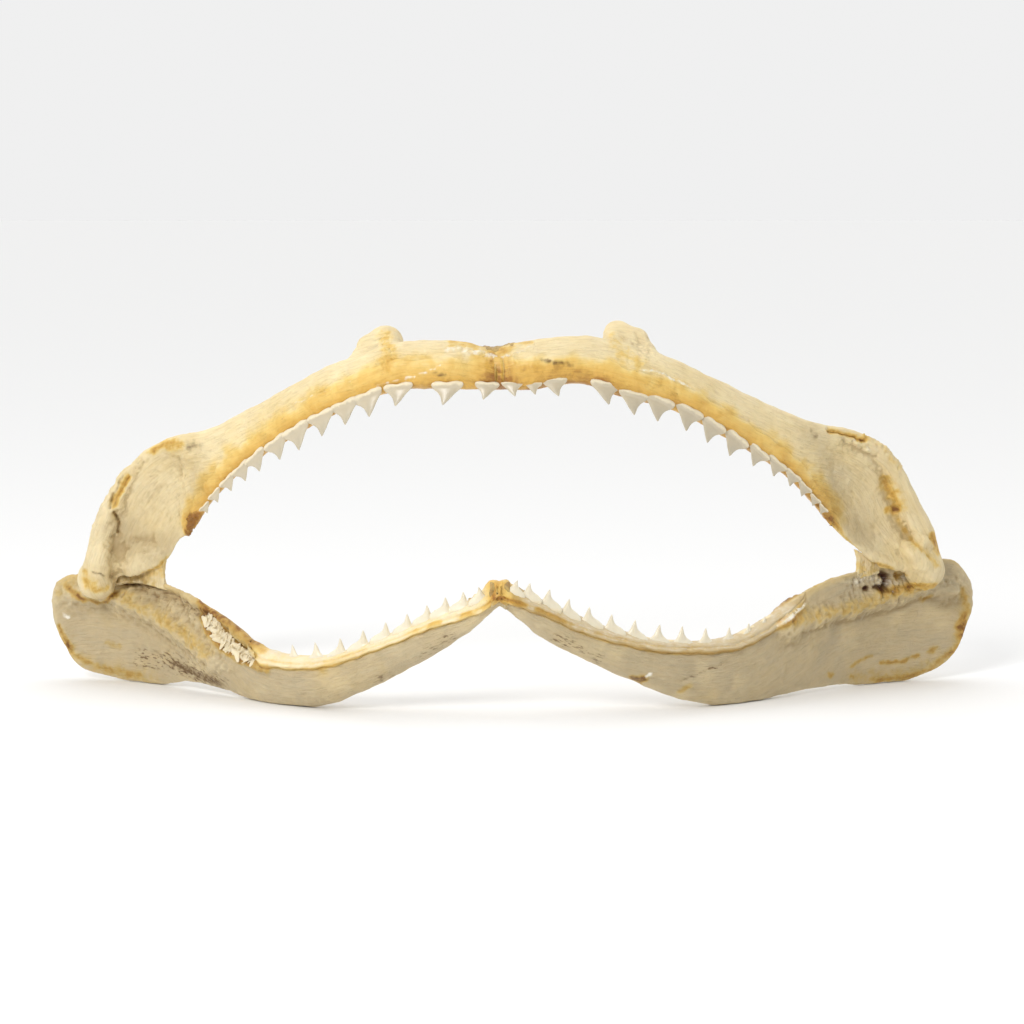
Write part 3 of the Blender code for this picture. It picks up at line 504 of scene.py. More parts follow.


# marks on the front of the cartilage and gum: a width, a line as x, z, x, z and so on, how far it
# stands up or sinks, how crumbled it is, and how much amber, dark, flecked or chalky stain it carries; some dark and
# tan marks are painted shade, not stain
marks = {
    "upperRight": [
        mark(0.95, -119.6, 65.3, -122.4, 60.6, -124, 56.8, rise=-1.7, amber=1.5),
        mark(0.4, -120.8, 65.9, -123.7, 60.6, -125.2, 56, rise=-0.4, dark=0.8),
        mark(0.45, -123.9, 54.4, -122.6, 50.8, -122.9, 47.8, rise=-0.9, dark=1.3, amber=0.6),
        # painted shade: the slight dark along this groove beside the column
        mark(2, -115.2, 69.9, -119.9, 59.6, -122.5, 51.7, -123.1, 43.8, -123.2, 34.4, rise=-1.5, dark=0.12),
        mark(3, -119.5, 66, -124.6, 56, -127.6, 47, -129, 38, rise=1.3, chalk=0.25),
        mark(7, -107, 69, -111, 60, -112.5, 52, rise=-1.5),
        mark(2.2, -99.5, 73, -100.2, 62, -101, 52.6, rise=1.0, chalk=0.2),
        # painted shade: these two broad tan patches darken the plate as form shading
        mark(5, -120, 47, -113, 43, -107, 44, tan=0.5, amber=0.12),
        mark(4, -105, 73, -98, 70, -97, 62, tan=0.35, amber=0.2),
        mark(2.6, -120.6, 36.6, -115.8, 39.6, -110.9, 41.8, rise=1.3, chalk=0.2),
        mark(1.5, -121.5, 42.6, -117.8, 45.6, -112.5, 46.6, rise=-0.8, dark=0.12),
        mark(0.7, -107.2, 40.4, -109.4, 38, -116.1, 34.8, -122.5, 31.6, rise=-0.4, amber=0.9, dark=0.3),
        mark(0.8, -139.6, 29.5, -133.3, 26.4, -127.9, 25.6, -124.2, 28.2, amber=1.3, dark=0.3),
        mark(0.4, -130.4, 35.8, -128.4, 35.6, -127, 34.8, rise=-0.4, dark=1.1),
        mark(1, -133, 36, -132.6, 32, -129, 29.6, -125.6, 31, rise=-0.35, amber=0.7),
        mark(2, -131, 32.6, rise=-0.5, amber=0.6),
        mark(1.4, -99.5, 76.2, -95.6, 76.8, dark=0.75),
        mark(1.7, -111.8, 74.6, -108, 76.4, -103.5, 76.6, rise=-0.5, amber=1.25),
        mark(0.6, -40.4, 96.7, -33.2, 98.6, -21.3, 102.9, rise=-0.45, chalk=1.0),
        mark(0.5, -66, 90.5, -54, 96, -44, 99.2, rise=-0.35, chalk=0.7),
        mark(0.8, -23.1, 100.8, -20, 100.1, dark=1.0),
        mark(1.2, -21, 108.2, -14, 107.3, -8, 106.6, -4, 105, rise=0.25, crumble=0.5, chalk=0.9),
        mark(2.4, -38.5, 111, -36.5, 107.5, -37.5, 104, amber=0.65, crumble=0.5, chalk=0.2),
        mark(1.6, -98.3, 54, -99.8, 48.6, rise=0.6, crumble=1.0, amber=1.9, dark=0.5),
        mark(4.5, -5, 104, -4.4, 98, amber=0.75),
        mark(1.2, -18, 109.8, -12, 109, -7, 108.1, -3, 107, amber=0.9, dark=0.3),
        mark(1.8, -4.2, 104, -4.6, 101, -4, 97.6, rise=-0.25, amber=0.35),
    ],
    "upperLeft": [
        mark(0.8, 97.3, 81.2, 102.5, 79.9, 108.8, 77.6, rise=-1.3, amber=1.4, dark=0.55),
        mark(1.2, 106, 77, 111.5, 74, rise=0.5, crumble=0.7, chalk=0.7),
        mark(1.3, 91.3, 81, 92.4, 79.6, dark=0.8),
        mark(1.9, 103.5, 77, 112.1, 71, 114.7, 65.4, 116, 60, 118.7, 54.9, 121, 50.1, 124.5, 45.4, 129.1, 42,
             rise=-1.2),
        mark(0.9, 118.7, 54.9, 121, 50.1, 124.5, 45.4, 129.1, 42, 132, 38, amber=0.7),
        mark(1.2, 108.4, 78.8, 114, 75.6, 120, 68.6, rise=0.4, crumble=0.6, amber=0.35),
        mark(2, 116.2, 64, 118.2, 60, 120.6, 56.4, rise=-0.5, amber=1.15),
        mark(1.1, 117.5, 54.5, 119.6, 54.8, amber=1.5),
        mark(2.2, 122.6, 52.3, 128.5, 45.4, rise=1.2, chalk=0.35),
        mark(1.4, 131, 46.6, 133, 42.5, rise=-0.3, amber=1.6),
        mark(2.6, 121, 43.6, 126, 39.6, 129.4, 34.9, rise=1.2, chalk=0.35),
        mark(1.2, 117, 30.5, 124, 31.2, 131.5, 31.5, crumble=0.8, amber=1.1, dark=0.2),
        mark(1.8, 107.2, 41.6, 112.6, 40.6, 118.7, 38, 122.7, 36, rise=0.9, chalk=0.25),
        mark(0.7, 107.2, 39.4, 112.6, 38.8, 118.7, 36.5, 122.7, 34.9, rise=-0.3, amber=0.9, dark=0.5),
        mark(0.7, 98.2, 53.6, 103.2, 46.8, 105.8, 43.8, rise=-0.3, amber=0.8, dark=0.25),
        mark(7, 104, 70, 109.5, 61, 112, 53, rise=-1.5),
        # painted shade: these two broad tan patches darken the plate as form shading
        mark(4, 99, 62, 103, 54, 109, 47, tan=0.5, amber=0.15),
        mark(3.5, 90, 81, 95, 76, 98, 68, tan=0.4, amber=0.15),
        mark(0.5, 38.5, 101.5, 43, 101, 48, 98.2, 53.5, 96, rise=0.2, crumble=0.4, chalk=1.2),
        mark(0.45, 56, 93.5, 64, 89.5, 72, 85, rise=-0.3, chalk=0.7),
        mark(1.6, 4, 102.4, 14.3, 102.9, 20.2, 101.4, 28.6, 98, dark=0.30, amber=0.4),
        mark(0.55, 8.3, 105, 13, 104.2, 18, 103.4, dark=1.1),
        mark(1.1, -3, 105.2, 2, 107.6, 5.5, 108.4, rise=0.2, crumble=0.5, chalk=0.8),
        mark(4.5, -3, 104, -3.4, 98, amber=0.75),
        mark(1, -3.5, 107.4, 1, 109.4, 5, 110.4, amber=0.8, dark=0.25),
        mark(1.8, -4.2, 104, -4.6, 101, -4, 97.6, rise=-0.25, amber=0.35),
        mark(2.2, 30, 110.5, 33, 106.5, 38, 104, amber=0.55, crumble=0.3),
        mark(2.2, 38, 110.2, 41, 107.6, rise=-0.9, dark=0.35),
    ],
    "lowerRight": [
        mark(3.6, -139, 27, -127.1, 27.4, -118, 24.6, -109, 20.6, -99.4, 15.6, -91, 10, rise=2.8),
        mark(2.3, -123.2, 28.4, -115.7, 25.4, -107.5, 22, -99.4, 18, -92.5, 13, rise=0.4, amber=0.62),
        # painted shade: a dark line under the lateral ridge
        mark(0.5, -127.1, 25.4, -115.8, 19.7, -106, 14.4, rise=-0.25, dark=0.25),
        # painted shade: the dark in this sunk fossa under the plate; its flecks are fibres and its amber a stain
        mark(2.6, -122.4, 31.4, -116.3, 31, -107.9, 28.4, -98.6, 24.6, rise=-2.3, dark=0.36, flecks=0.8,
             amber=0.2),
        # painted shadow cast by the plate's lower edge onto the lower jaw
        mark(1.6, -122.4, 31.8, -117.5, 31.8, dark=0.9),
        mark(1.1, -111.5, 33.2, -103, 30.4, -95.8, 27.6, rise=0.9, chalk=0.3),
        mark(3.2, -116, 7.5, -108.3, 8, -101.5, 6.6, -94.6, 5.3, -90.3, 3.7, dark=0.20, flecks=1.15,
             amber=0.2),
        mark(1.6, -105, 7, -98, 5.6, -90, 3.4, dark=1.0, flecks=0.6),
        mark(3.2, -143.5, 14, -138.2, 7.3, -128.1, 2.6, -112.9, 1.1, amber=0.4),
        mark(1, -142.4, 12, -138.2, 7.3, -130.1, 3.4, -116.9, 2.1, amber=0.55),
        mark(0.8, -139.6, 29, -133.3, 25.8, -127.9, 25, -123.6, 28, rise=-0.4, amber=1.3, dark=0.4),
        mark(1.6, -143, 27, -139, 30.6, -134, 31.6, amber=0.5, dark=0.16),
        mark(0.8, -143.6, 16.5, -139.8, 9.4, rise=-0.5, amber=1.2),
        mark(0.9, -141.8, 20, -140.8, 19.7, rise=0.3, chalk=1.5),
        mark(1.1, -136.5, 26.6, -134.5, 25.4, amber=1.2),
        mark(0.9, -128, 12, -124, 10.5, amber=0.7),
        mark(2, -25.7, 18.6, -21.2, 21.9, -17.9, 24.3, dark=0.34, flecks=0.75),
        mark(1.5, -41, 9.5, -35.6, 11.8, dark=0.34, flecks=0.7),
        mark(2, -57, 12, amber=0.4),
        mark(2.4, -94.6, 24.6, -91.2, 20.6, -86.8, 17.6, -81, 14.6, rise=-3.2, amber=1.15, dark=0.3),
        mark(1.6, -95.8, 27.6, -88.8, 24.6, -81.3, 20.2, -75.1, 16.8, amber=1.25, rise=0.2),
        mark(1.2, -96.4, 25.6, -93.6, 19.4, -87, 14.2, -80.1, 11.7, -74.2, 10.6, rise=1.1, amber=1.2),
        mark(1.1, -87.6, 21.4, rise=-0.8, dark=1.6),
        mark(2, -4.6, 38.5, -4.6, 36, amber=0.5),
    ],
    "lowerLeft": [
        mark(3.2, 139, 29, 129, 30, 119, 28, 108, 25.6, 95, 23.2, 84, 20.6, rise=2.4),
        mark(2.2, 125.9, 30, 118, 28.6, 106, 26, 90.7, 24.3, 80.6, 23.4, rise=0.4, amber=0.7),
        # painted shade: a dark line under the lateral ridge
        mark(0.9, 88.4, 19.4, 104.6, 21.1, 118.2, 22.5, 129.2, 26.2, rise=-0.5, dark=0.16),
        mark(2.6, 106.6, 33, 112, 33.6, 116, 31.5, 121.4, 32.6, rise=-0.4, crumble=0.9, chalk=0.8),
        mark(1.15, 115.6, 35.4, 117.2, 33.4, 116, 30.8, rise=-2.4, dark=2.4),
        mark(0.75, 110.3, 30.6, rise=-1.6, dark=2.4),
        mark(0.8, 113, 31, 115, 30, rise=-1.4, dark=1.8),
        mark(1.2, 120.6, 33.9, rise=-0.8, amber=1.5, dark=0.4),
        mark(1.8, 12.7, 24.3, 18.6, 21.6, 26.1, 16.3, dark=0.28, flecks=0.8),
        mark(1.1, 36, 9.7, 38.2, 9.5, 39.2, 10.2, amber=2.0, dark=0.9),
        mark(0.7, 39.8, 10.9, 41.2, 11.5, rise=0.3, crumble=0.6, chalk=1.6),
        mark(0.7, 50.3, 8.3, 56.4, 11, 64.8, 13.2, rise=-0.3, flecks=1.0),
        mark(0.8, 50, 5.6, 53.5, 7.2, amber=0.75),
        mark(0.65, 105.4, 6.5, 108.7, 7.9, 112.1, 9.1, amber=1.0),
        mark(0.65, 115.9, 6.9, 119, 6.2, 122.1, 6.6, 127.7, 7.9, amber=1.15),
        mark(0.9, 97.9, 4.9, 99, 4.6, amber=1.1),
        mark(0.7, 106.1, 3.2, amber=0.9),
        mark(0.9, 132, 9.2, 133.4, 10, amber=1.2),
        mark(1, 131.5, 26.4, 129, 25.6, amber=1.0),
        mark(1.4, 141.6, 14.6, 142.4, 19, amber=1.4),
        mark(1, 142.3, 27.9, 143.6, 21.5, 142.8, 13.6, 139.2, 8, amber=0.6),
        mark(1, 113, 1, 125.6, 1.6, 132.8, 4, 139.2, 8.9, amber=0.7),
        mark(3.2, 143.3, 26, 142.8, 13.6, 138.2, 7, 125, 2.4, 106, 1.8, amber=0.4),
        mark(0.8, 114, 29.4, 122, 30.4, 131, 30.8, 134.5, 33.5, rise=-0.3, amber=1.0, dark=0.3),
        mark(2, 138, 24, 140.6, 24.4, rise=-0.5, dark=0.1),
        mark(1.1, 78.4, 23.2, 81.8, 26.6, 87.8, 29.3, rise=-1.3, amber=1.6, dark=0.45),
        mark(0.6, 79.8, 21.6, 84.8, 24.8, 89.6, 28, rise=0.5, crumble=0.6, chalk=0.8),
        mark(0.6, 93, 33.6, 100, 36, rise=0.3, amber=0.9, dark=0.2),
        mark(2, -3, 38.5, -3, 36, amber=0.5),
    ],
}
gumShape = {
    "upper": {"outside": (8.5, 4.6), "inside": (9.5, 5.0), "ends": {"Right": 8.0, "Left": 8.0}},
    "lower": {"outside": (3.7, 4.0), "inside": (8.5, 5.5), "ends": {"Right": 5.35, "Left": 6.7}},
    "proud": 0.30, "taper": 0.08, "rings": 420, "facePoints": 15,
}
gumStain = {  # the amber of the upper gum ends between these distances from the tooth edge; its strength
    "upperRight": (2.5, 10.5, 1.3), "upperLeft": (2.0, 10.0, 1.45),
}


def gumEnd(half):
    return gumShape[jawOf(half)]["ends"][half[5:]]


def lineWeight(flat, line, width):
    # 1 on the line, fading over the width
    nearest = np.full(len(flat), 1e9)
    ends = line[1:] if len(line) > 1 else line
    for start, end in zip(line, ends):
        start, way = np.array(start), np.array(end) - np.array(start)
        share = np.clip((flat - start) @ way / max(way @ way, 1e-9), 0, 1)
        nearest = np.minimum(nearest, np.linalg.norm(flat - start - share[:, None] * way, axis=1))
    return np.exp(-((nearest / width) ** 2))


def soft(values, low, high):
    share = np.clip((values - low) / (high - low), 0, 1)
    return share * share * (3 - 2 * share)


def markUp(piece, half, points, facts):
    # the marks' relief, and all stains and painted shade as masks; the gum's amber fades into the cartilage
    normals = normalsOf(piece)
    wander = np.stack([roughness(points, 2.6, 3, 5.0), roughness(points, 2.6, 3, 9.0)], axis=1)
    broken = soft(roughness(points, 1.7, 3, 31.0), -0.55, 0.55)
    front = np.clip(-normals[:, 1] * 3 + 0.5, 0, 1)
    toEdge, place = facts[:, 2], facts[:, 3]
    masks = {name: np.zeros(len(points)) for name in ("amber", "dark", "flecks", "chalk", "tan", "crumble")}
    relief = np.zeros(len(points))
    for mark in marks[half]:
        width = mark["width"]
        flat = points[:, [0, 2]] + min(1.3, 0.25 + 0.4 * width) * wander
        weight = lineWeight(flat, mark["line"], width) * front
        relief += weight * mark.get("rise", 0.0)
        patchy = weight * (0.6 + 0.55 * broken)
        for name in masks:
            masks[name] += mark.get(name, 0.0) * (weight if name in ("tan", "crumble") else patchy)
    if isUpper(half):
        masks["tan"] += 0.03 + 0.24 * soft(place, 6.2, 7.8) + 0.14 * roughness(points, 16.0, 2, 33.0)
    else:
        masks["tan"] += 0.92 - 0.25 * soft(roughness(points, 12.0, 3, 34.0), 0.1, 0.7)
    stainGum(half, points, toEdge, place, front, masks)
    crumbs = masks.pop("crumble")
    relief += crumbs * (0.9 * roughness(points, 1.3, 3, 21.0) + 0.4 * roughness(points, 0.6, 2, 22.0))
    for name, values in masks.items():
        setMask(piece, name, values)
    setMask(piece, "grain", facts[:, [0, 1, 1]] * (1.0, 1.0, 0.0))
    return normals, relief


def stainGum(half, points, toEdge, place, front, masks):
    ragged = roughness(points, 6.5, 3, 4.0)
    end = len(halves[half]) - 1
    if isUpper(half):
        toothed = 1 - soft(place, end - 4.4, end - 3.4)
        near, wide, strength = gumStain[half]
        amber = 0.66 * (1 - soft(toEdge + 2.5 * ragged, near, wide)) + 0.36 * (1 - soft(toEdge, 0.4, 3.4))
        masks["amber"] += strength * amber * toothed * (0.35 + 0.65 * front)
        masks["dark"] += 0.22 * (1 - soft(toEdge, 0.2, 1.5)) * toothed
        behind = 1 - front
        masks["amber"] += 0.30 * behind * soft(roughness(points, 14.0, 3, 17.0), -0.3, 0.6)
        return
    toothed = 1 - soft(place, gumEnd(half) - 0.5, gumEnd(half) + 0.1)
    roots = (1 - soft(toEdge + 0.4 * ragged, 2.4, 3.2)) * toothed
    masks["tan"] *= 1 - roots
    masks["chalk"] += 0.68 * roots * soft(place, 0.3, 1.0)
    line = np.exp(-(((toEdge + 0.3 * ragged - 3.5) / 0.55) ** 2)) * toothed
    fold = np.exp(-(((toEdge + 0.4 * ragged - 1.75) / 0.35) ** 2)) * roots
    masks["amber"] += 0.85 * line + 0.5 * fold + 0.34 * roots * soft(ragged, -0.3, 0.5)
    masks["amber"] += 0.6 * roots * (1 - soft(place, 0.1, 0.9))
    patches = roots * (1 - soft(place, 0.4, 3.2)) * soft(ragged, -0.35, 0.35) * soft(toEdge, 1.2, 2.2)
    masks["amber"] += 0.9 * patches
    lip = soft(-toEdge, 0.3, 0.9) * (1 - soft(place, 3.0, 3.6)) * soft(place, 0.15, 0.4) * (1 - front)
    masks["amber"] += 0.9 * lip
    masks["dark"] += 0.15 * lip
    masks["chalk"] *= (1 - 0.9 * patches) * (1 - lip)
    masks["dark"] += 0.22 * line
    masks["amber"] += 0.35 * (1 - soft(toEdge, 0.5, 2.6)) * (1 - toothed)


def shadeHollowsLightRidges(piece):
    # painted shade for the hollows and a painted highlight for the ridges: depth of each point under its
    # surroundings
    points, normals = pointsOf(piece), normalsOf(piece)
    near = ((relaxed(piece, points, 6) - points) * normals).sum(1)
    wide = ((relaxed(piece, points, 90) - points) * normals).sum(1)
    away = soft(np.abs(points[:, 0] - sum(midline.values()) / 2), 2.6, 5.0)  # the buried ends aren't hollows
    setMask(piece, "hollow", np.clip(near / 0.30 + wide / 1.2, -1.3, 1.4) * away)


def surfaceFacts(half, points):
    # for each point: distance along the half jaw, distance across it and to its tooth edge, place
    rows = halves[half]
    places = np.linspace(0, len(rows) - 1, 200)
    stations = smoothRows(rows, places)
    uppers, lowers = stations[:, 0:3] + jointToCentre, stations[:, 3:6] + jointToCentre
    downs, middles = lowers - uppers, (uppers + lowers) / 2
    heights = np.linalg.norm(downs, axis=1)
    outs = np.cross(downs, np.gradient(middles, axis=0))
    ahead = np.cross(outs, downs)
    ahead /= np.linalg.norm(ahead, axis=1)[:, None]
    ahead *= np.sign((ahead * np.gradient(middles, axis=0)).sum(1))[:, None]
    lengths = np.concatenate([[0], np.cumsum(np.linalg.norm(np.diff(middles, axis=0), axis=1))])
    before = points @ ahead.T - (middles * ahead).sum(1)
    share = (points @ downs.T - (uppers * downs).sum(1)) / heights**2
    outside = np.maximum(0, np.abs(share - 0.5) - 0.5) * heights
    nearest = (before**2 + outside**2).argmin(1)
    each = np.arange(len(points))
    here = before[each, nearest]
    second = np.clip(nearest + np.where(here > 0, 1, -1), 0, len(places) - 1)
    there = before[each, second]
    t = np.where(here * there < 0, here / np.where(here == there, 1, here - there), 0)
    place = places[nearest] + t * (places[second] - places[nearest])
    across = share[each, nearest] * (1 - t) + share[each, second] * t
    height = np.interp(place, places, heights)
    toEdge = (1 - across if isUpper(half) else across) * height
    return np.stack([np.interp(place, places, lengths), across * height, toEdge, place], axis=1)


midline = {"Right": -1.4, "Left": -6.2}  # x to which each half reaches; they overlap a little
midlineSag = {"upper": 0.0, "lower": 2.2}


def meetingRings(half, ring, shared):
    # the halves run into one another at the midline, so that no step shows between them
    rings = []
    for t, size, sag in ((0.0, 0.90, 1.0), (0.25, 0.985, 0.6), (0.65, 1.0, 0.18)):
        placed = shared + (ring - shared) * soft(t, 0.0, 1.0)
        placed = placed.mean(0) + (placed - placed.mean(0)) * size
        placed[:, 0] = midline[half[5:]] + (ring[:, 0] - midline[half[5:]]) * t
        placed[:, 2] -= midlineSag[jawOf(half)] * sag
        rings.append(placed)
    return rings


def cadNode(half, kind):
    return ("upper_" if isUpper(half) else "lower_") + kind + "_" + half[5:].lower()


def halfJaw(half):
    name, facePoints = half[:5] + "Jaw" + half[5:], jawShape["facePoints"]
    places = np.linspace(0, len(halves[half]) - 1, jawShape["rings"])
    rings = [Slice(half, place).ring(facePoints) for place in places]
    shared = Slice(half[:5] + "Right", 0.0).ring(facePoints)
    piece = gridPiece(name, np.array(meetingRings(half, rings[0], shared) + rings), True)
    if knobs[half]:
        piece = joined(name, [piece] + [lump("knob", *knob) for knob in knobs[half]])
    fused(piece, jawShape["voxel"], 6)
    points = pointsOf(piece)
    for centre, radii, lean in knobs[half]:  # melts the knobs into the cartilage
        reach = np.linalg.norm((points - centre) / radii, axis=1)
        points = relaxed(piece, points, 14, (0.8 * np.exp(-((reach - 1.0) / 0.45) ** 2))[:, None])
    setPoints(piece, points)
    facts = surfaceFacts(half, points)
    normals, relief = markUp(piece, half, points, facts)
    relief += 0.38 * roughness(points, 10.0, 3, 1.0) + 0.07 * roughness(points, 2.4, 3, 2.0)
    along = facts[:, [0, 1, 1]] * (0.12, 1.0, 0.0)
    relief += 0.06 * roughness(along, 1.6, 2, 3.0)
    points = points + normals * relief[:, None]
    points[:, 2] = np.maximum(points[:, 2], 0.0)
    setPoints(piece, points)
    shadeHollowsLightRidges(piece)
    return finished(piece, cartilage, [cadNode(half, "jaw")])


for half in halves:
    halfJaw(half)
print("cartilage done")

# gum bands along the tooth edges

rowEnds = {"upperRight": 8.0, "upperLeft": 8.0, "lowerRight": 6.9, "lowerLeft": 6.7}
toothRows = {  # distance of each tooth from the midline, along the gum, with a gap where one is lost
    "upperRight": (2.6, 14.0, 28.4, 38.2, 46.0, 54.6, 64.2, 72.4, 81.4, 88.0, 94.6, 101.6, 107.6),
    "upperLeft": (2.6, 8.6, 14.8, 30.2, 39.2, 47.4, 57.4, 66.4, 75.4, 84.6, 92.2, 99.0, 105.0, 110.8, 115.4),
    "lowerRight": (5.8, 11.6, 17.8, 24.2, 31.4, 39.4, 47.4, 55.4, 63.6, 72.0, 80.2, 87.2, 94.4, 100.4),
    "lowerLeft": (3.6, 8.2, 14.6, 21.6, 29.4, 37.4, 45.4, 53.6, 61.8, 70.0, 78.4, 86.0, 92.6),
}
sunk = {"upperRight": 0.3, "upperLeft": 1.0, "lowerRight": 1.9, "lowerLeft": 1.5}


def edgeTable(half):
    # the tooth edge as distances from the midline and the places they are at
    places = np.arange(0, rowEnds[half] + 0.001, 0.05)
    edges = np.array([Slice(half, place).edge for place in places])
    steps = np.linalg.norm(np.diff(edges, axis=0), axis=1)
    return np.concatenate([[0], np.cumsum(steps)]), places


def gumBand(half):
    shape, end = gumShape[jawOf(half)], gumEnd(half)
    distances, places = edgeTable(half)
    teeth = np.array(toothRows[half])
    rings = []
    rise = 0.5 - 0.5 * np.cos(np.linspace(0, np.pi, gumShape["facePoints"]))
    for place in np.linspace(0, end, gumShape["rings"]):
        section = Slice(half, place)
        t = place / end
        far = np.interp(place, places, distances)
        atTooth = math.exp(-((np.abs(teeth - far).min() / 2.6) ** 2))
        taper = math.sqrt(min(1.0, max(0.0, (1 - t) / gumShape["taper"])))
        wave = 1 + 0.12 * (atTooth - 0.5) + 0.08 * noise.noise(Vector((far / 6, 0.3, len(half))))
        full = min(1.0, taper * 1.5)
        faces = []
        for name, side in (("outside", 1), ("inside", -1)):
            first, last = shape[name]
            share = min(0.8, taper * wave * (first + (last - first) * t) / section.height)
            shares = share * (1 - rise)  # from the band's far edge to the tooth edge
            puff = gumShape["proud"] * (0.5 + 0.8 * atTooth) * np.clip(rise * 4, 0, 1) * full
            if not isUpper(half) and side == 1:  # the roots' two low rolls under the skin of the gum
                rolls = 0.5 - 0.5 * np.cos(rise * 4 * np.pi)
                puff = puff + (0.25 + 0.75 * rolls) * full * (0.75 + 0.25 * atTooth)
            puff = puff - 0.7 * (rise < 0.02) - 0.25 * (1 - full)
            face = section.face(1 - shares if isUpper(half) else shares, side, puff)
            if not isUpper(half) and side == -1:  # the inner lip stands up between the first teeth
                lip = 1.9 * (1 - atTooth) * float(1 - soft(np.array(place), 1.8, 3.2)) * min(1.0, place / 0.3)
                face += np.outer(lip * np.exp(-(((rise - 0.80) / 0.14) ** 2)), section.toTip)
            faces.append(face)
        rings.append(np.concatenate([faces[0], faces[1][:-1][::-1]]))
    rings = meetingRings(half, rings[0], rings[0]) + rings
    piece = gridPiece("gum" + half[0].upper() + half[1:], np.array(rings), True)
    points = pointsOf(piece)
    facts = surfaceFacts(half, points)
    normals, relief = markUp(piece, half, points, facts)
    relief += 0.16 * roughness(points, 1.8, 3, 6.0) + 0.14 * roughness(points, 4.5, 2, 7.0)
    setPoints(piece, points + normals * relief[:, None])
    shadeHollowsLightRidges(piece)
    return finished(piece, driedGum)


for half in halves:
    gumBand(half)
print("gums done")

# teeth: one model for each kind, copied along the rows

toothModels = {
    # share of the height, front edge, back edge, half thickness; edges as shares of the width;
    # curl: how far the root bends out over the gum, by share of the height
    "upper": {
        "width": 10.0, "height": 6.6, "forward": 2.1, "around": 24, "rings": 34,
        "notch": 0.15, "droop": 0.0, "lean": 0.0,
        "curl": ((-0.2, 0.0, 0.2, 0.5), (0.9, 0.7, 0.0, 0.0)),
        "outline": [
            (-0.17, -0.03, 0.03, 0.02), (-0.14, -0.38, 0.36, 0.06), (-0.06, -0.475, 0.47, 0.085),
            (0.03, -0.50, 0.50, 0.095), (0.12, -0.475, 0.485, 0.095), (0.22, -0.41, 0.43, 0.09),
            (0.32, -0.325, 0.35, 0.084), (0.42, -0.245, 0.285, 0.078), (0.56, -0.155, 0.23, 0.066),
            (0.72, -0.06, 0.20, 0.050), (0.88, 0.055, 0.182, 0.03), (0.97, 0.115, 0.165, 0.012),
            (1.0, 0.145, 0.145, 0.0)]},
    "lower": {
        "width": 8.7, "height": 5.8, "forward": 1.4, "around": 24, "rings": 34,
        "notch": 0.12, "droop": 0.16, "lean": 0.22,
        "curl": ((-0.34, 0.0, 0.33, 0.6), (1.45, 1.15, 0.0, 0.0)),
        "outline": [
            (-0.28, -0.02, 0.02, 0.02), (-0.24, -0.34, 0.34, 0.04), (-0.12, -0.48, 0.48, 0.065),
            (0.06, -0.52, 0.52, 0.08), (0.18, -0.50, 0.50, 0.09), (0.27, -0.38, 0.40, 0.10),
            (0.35, -0.24, 0.27, 0.115), (0.44, -0.155, 0.19, 0.105), (0.56, -0.10, 0.135, 0.09),
            (0.70, -0.06, 0.105, 0.07), (0.86, -0.005, 0.085, 0.045), (0.96, 0.035, 0.07, 0.02),
            (1.0, 0.06, 0.06, 0.0)]},
}


def toothModel(kind):
    # a sphere drawn out into a blade: x is across from the midline side, z is from root to tip
    shape = toothModels[kind]
    bpy.ops.object.select_all(action="DESELECT")
    bpy.ops.mesh.primitive_uv_sphere_add(segments=shape["around"], ring_count=shape["rings"], radius=mm)
    piece = bpy.context.object
    piece.name = piece.data.name = kind + "ToothModel"
    ball = pointsOf(piece)
    outline = np.array(shape["outline"])
    climb = np.arccos(np.clip(-ball[:, 2], -1, 1)) / np.pi
    rise = outline[0, 0] + (1 - outline[0, 0]) * climb
    angle = np.arctan2(ball[:, 1], ball[:, 0])
    front, back, thick = (np.interp(rise, outline[:, 0], outline[:, k]) for k in (1, 2, 3))
    across = (front + back) / 2 + (back - front) / 2 * np.cos(angle)
    depth = thick * np.sin(angle) * np.abs(np.sin(angle)) ** 0.6
    depth = np.where(depth > 0, depth * 0.75, depth * 1.15)  # flatter in front
    ring = np.round(climb * shape["rings"]).astype(int)
    serration = 0.006 * np.where(ring % 2, 1, -1) * (np.abs(np.cos(angle)) > 0.98) * (rise > 0.1) * (rise < 0.93)
    across = across + serration * np.sign(np.cos(angle))
    lobe = np.exp(-((across / 0.17) ** 2)) * np.clip((0.12 - rise) / 0.4, 0, 1)
    arch = shape["droop"] * across**2 * 4 * np.clip((0.5 - rise) / 0.3, 0, 1)
    upright = rise + shape["notch"] * lobe - arch
    deep = depth * shape["width"] + np.interp(rise, *shape["curl"])
    setPoints(piece, np.stack([across * shape["width"], deep, upright * shape["height"]], axis=1))
    setMask(piece, "rise", rise)
    return piece


firstSizes = {  # the sizes of the first teeth from the midline
    "upperRight": (0.74, 0.96, 0.94), "upperLeft": (0.64, 0.55, 0.80, 0.93),
    "lowerRight": (0.85, 0.95, 1.05), "lowerLeft": (0.80, 0.90, 1.0, 1.05),
}


def toothSize(half, k, length):
    if k < len(firstSizes[half]):
        return firstSizes[half][k]
    return 1.0 - 0.68 * max(0.0, toothRows[half][k] / length - 0.58) / 0.36


def placeTooth(model, name, foot, across, out, up, size):
    tooth = model.copy()
    tooth.data = model.data.copy()
    tooth.name = name
    bpy.context.collection.objects.link(tooth)
    turn = Matrix([Vector(across), Vector(out), Vector(up)]).transposed().to_4x4()
    stretch = Matrix.Diagonal((size[0], size[1], size[2], 1.0))
    tooth.data.transform(Matrix.Translation(Vector(foot) * mm) @ turn @ stretch)
    if turn.determinant() < 0:
        tooth.data.flip_normals()
    return tooth


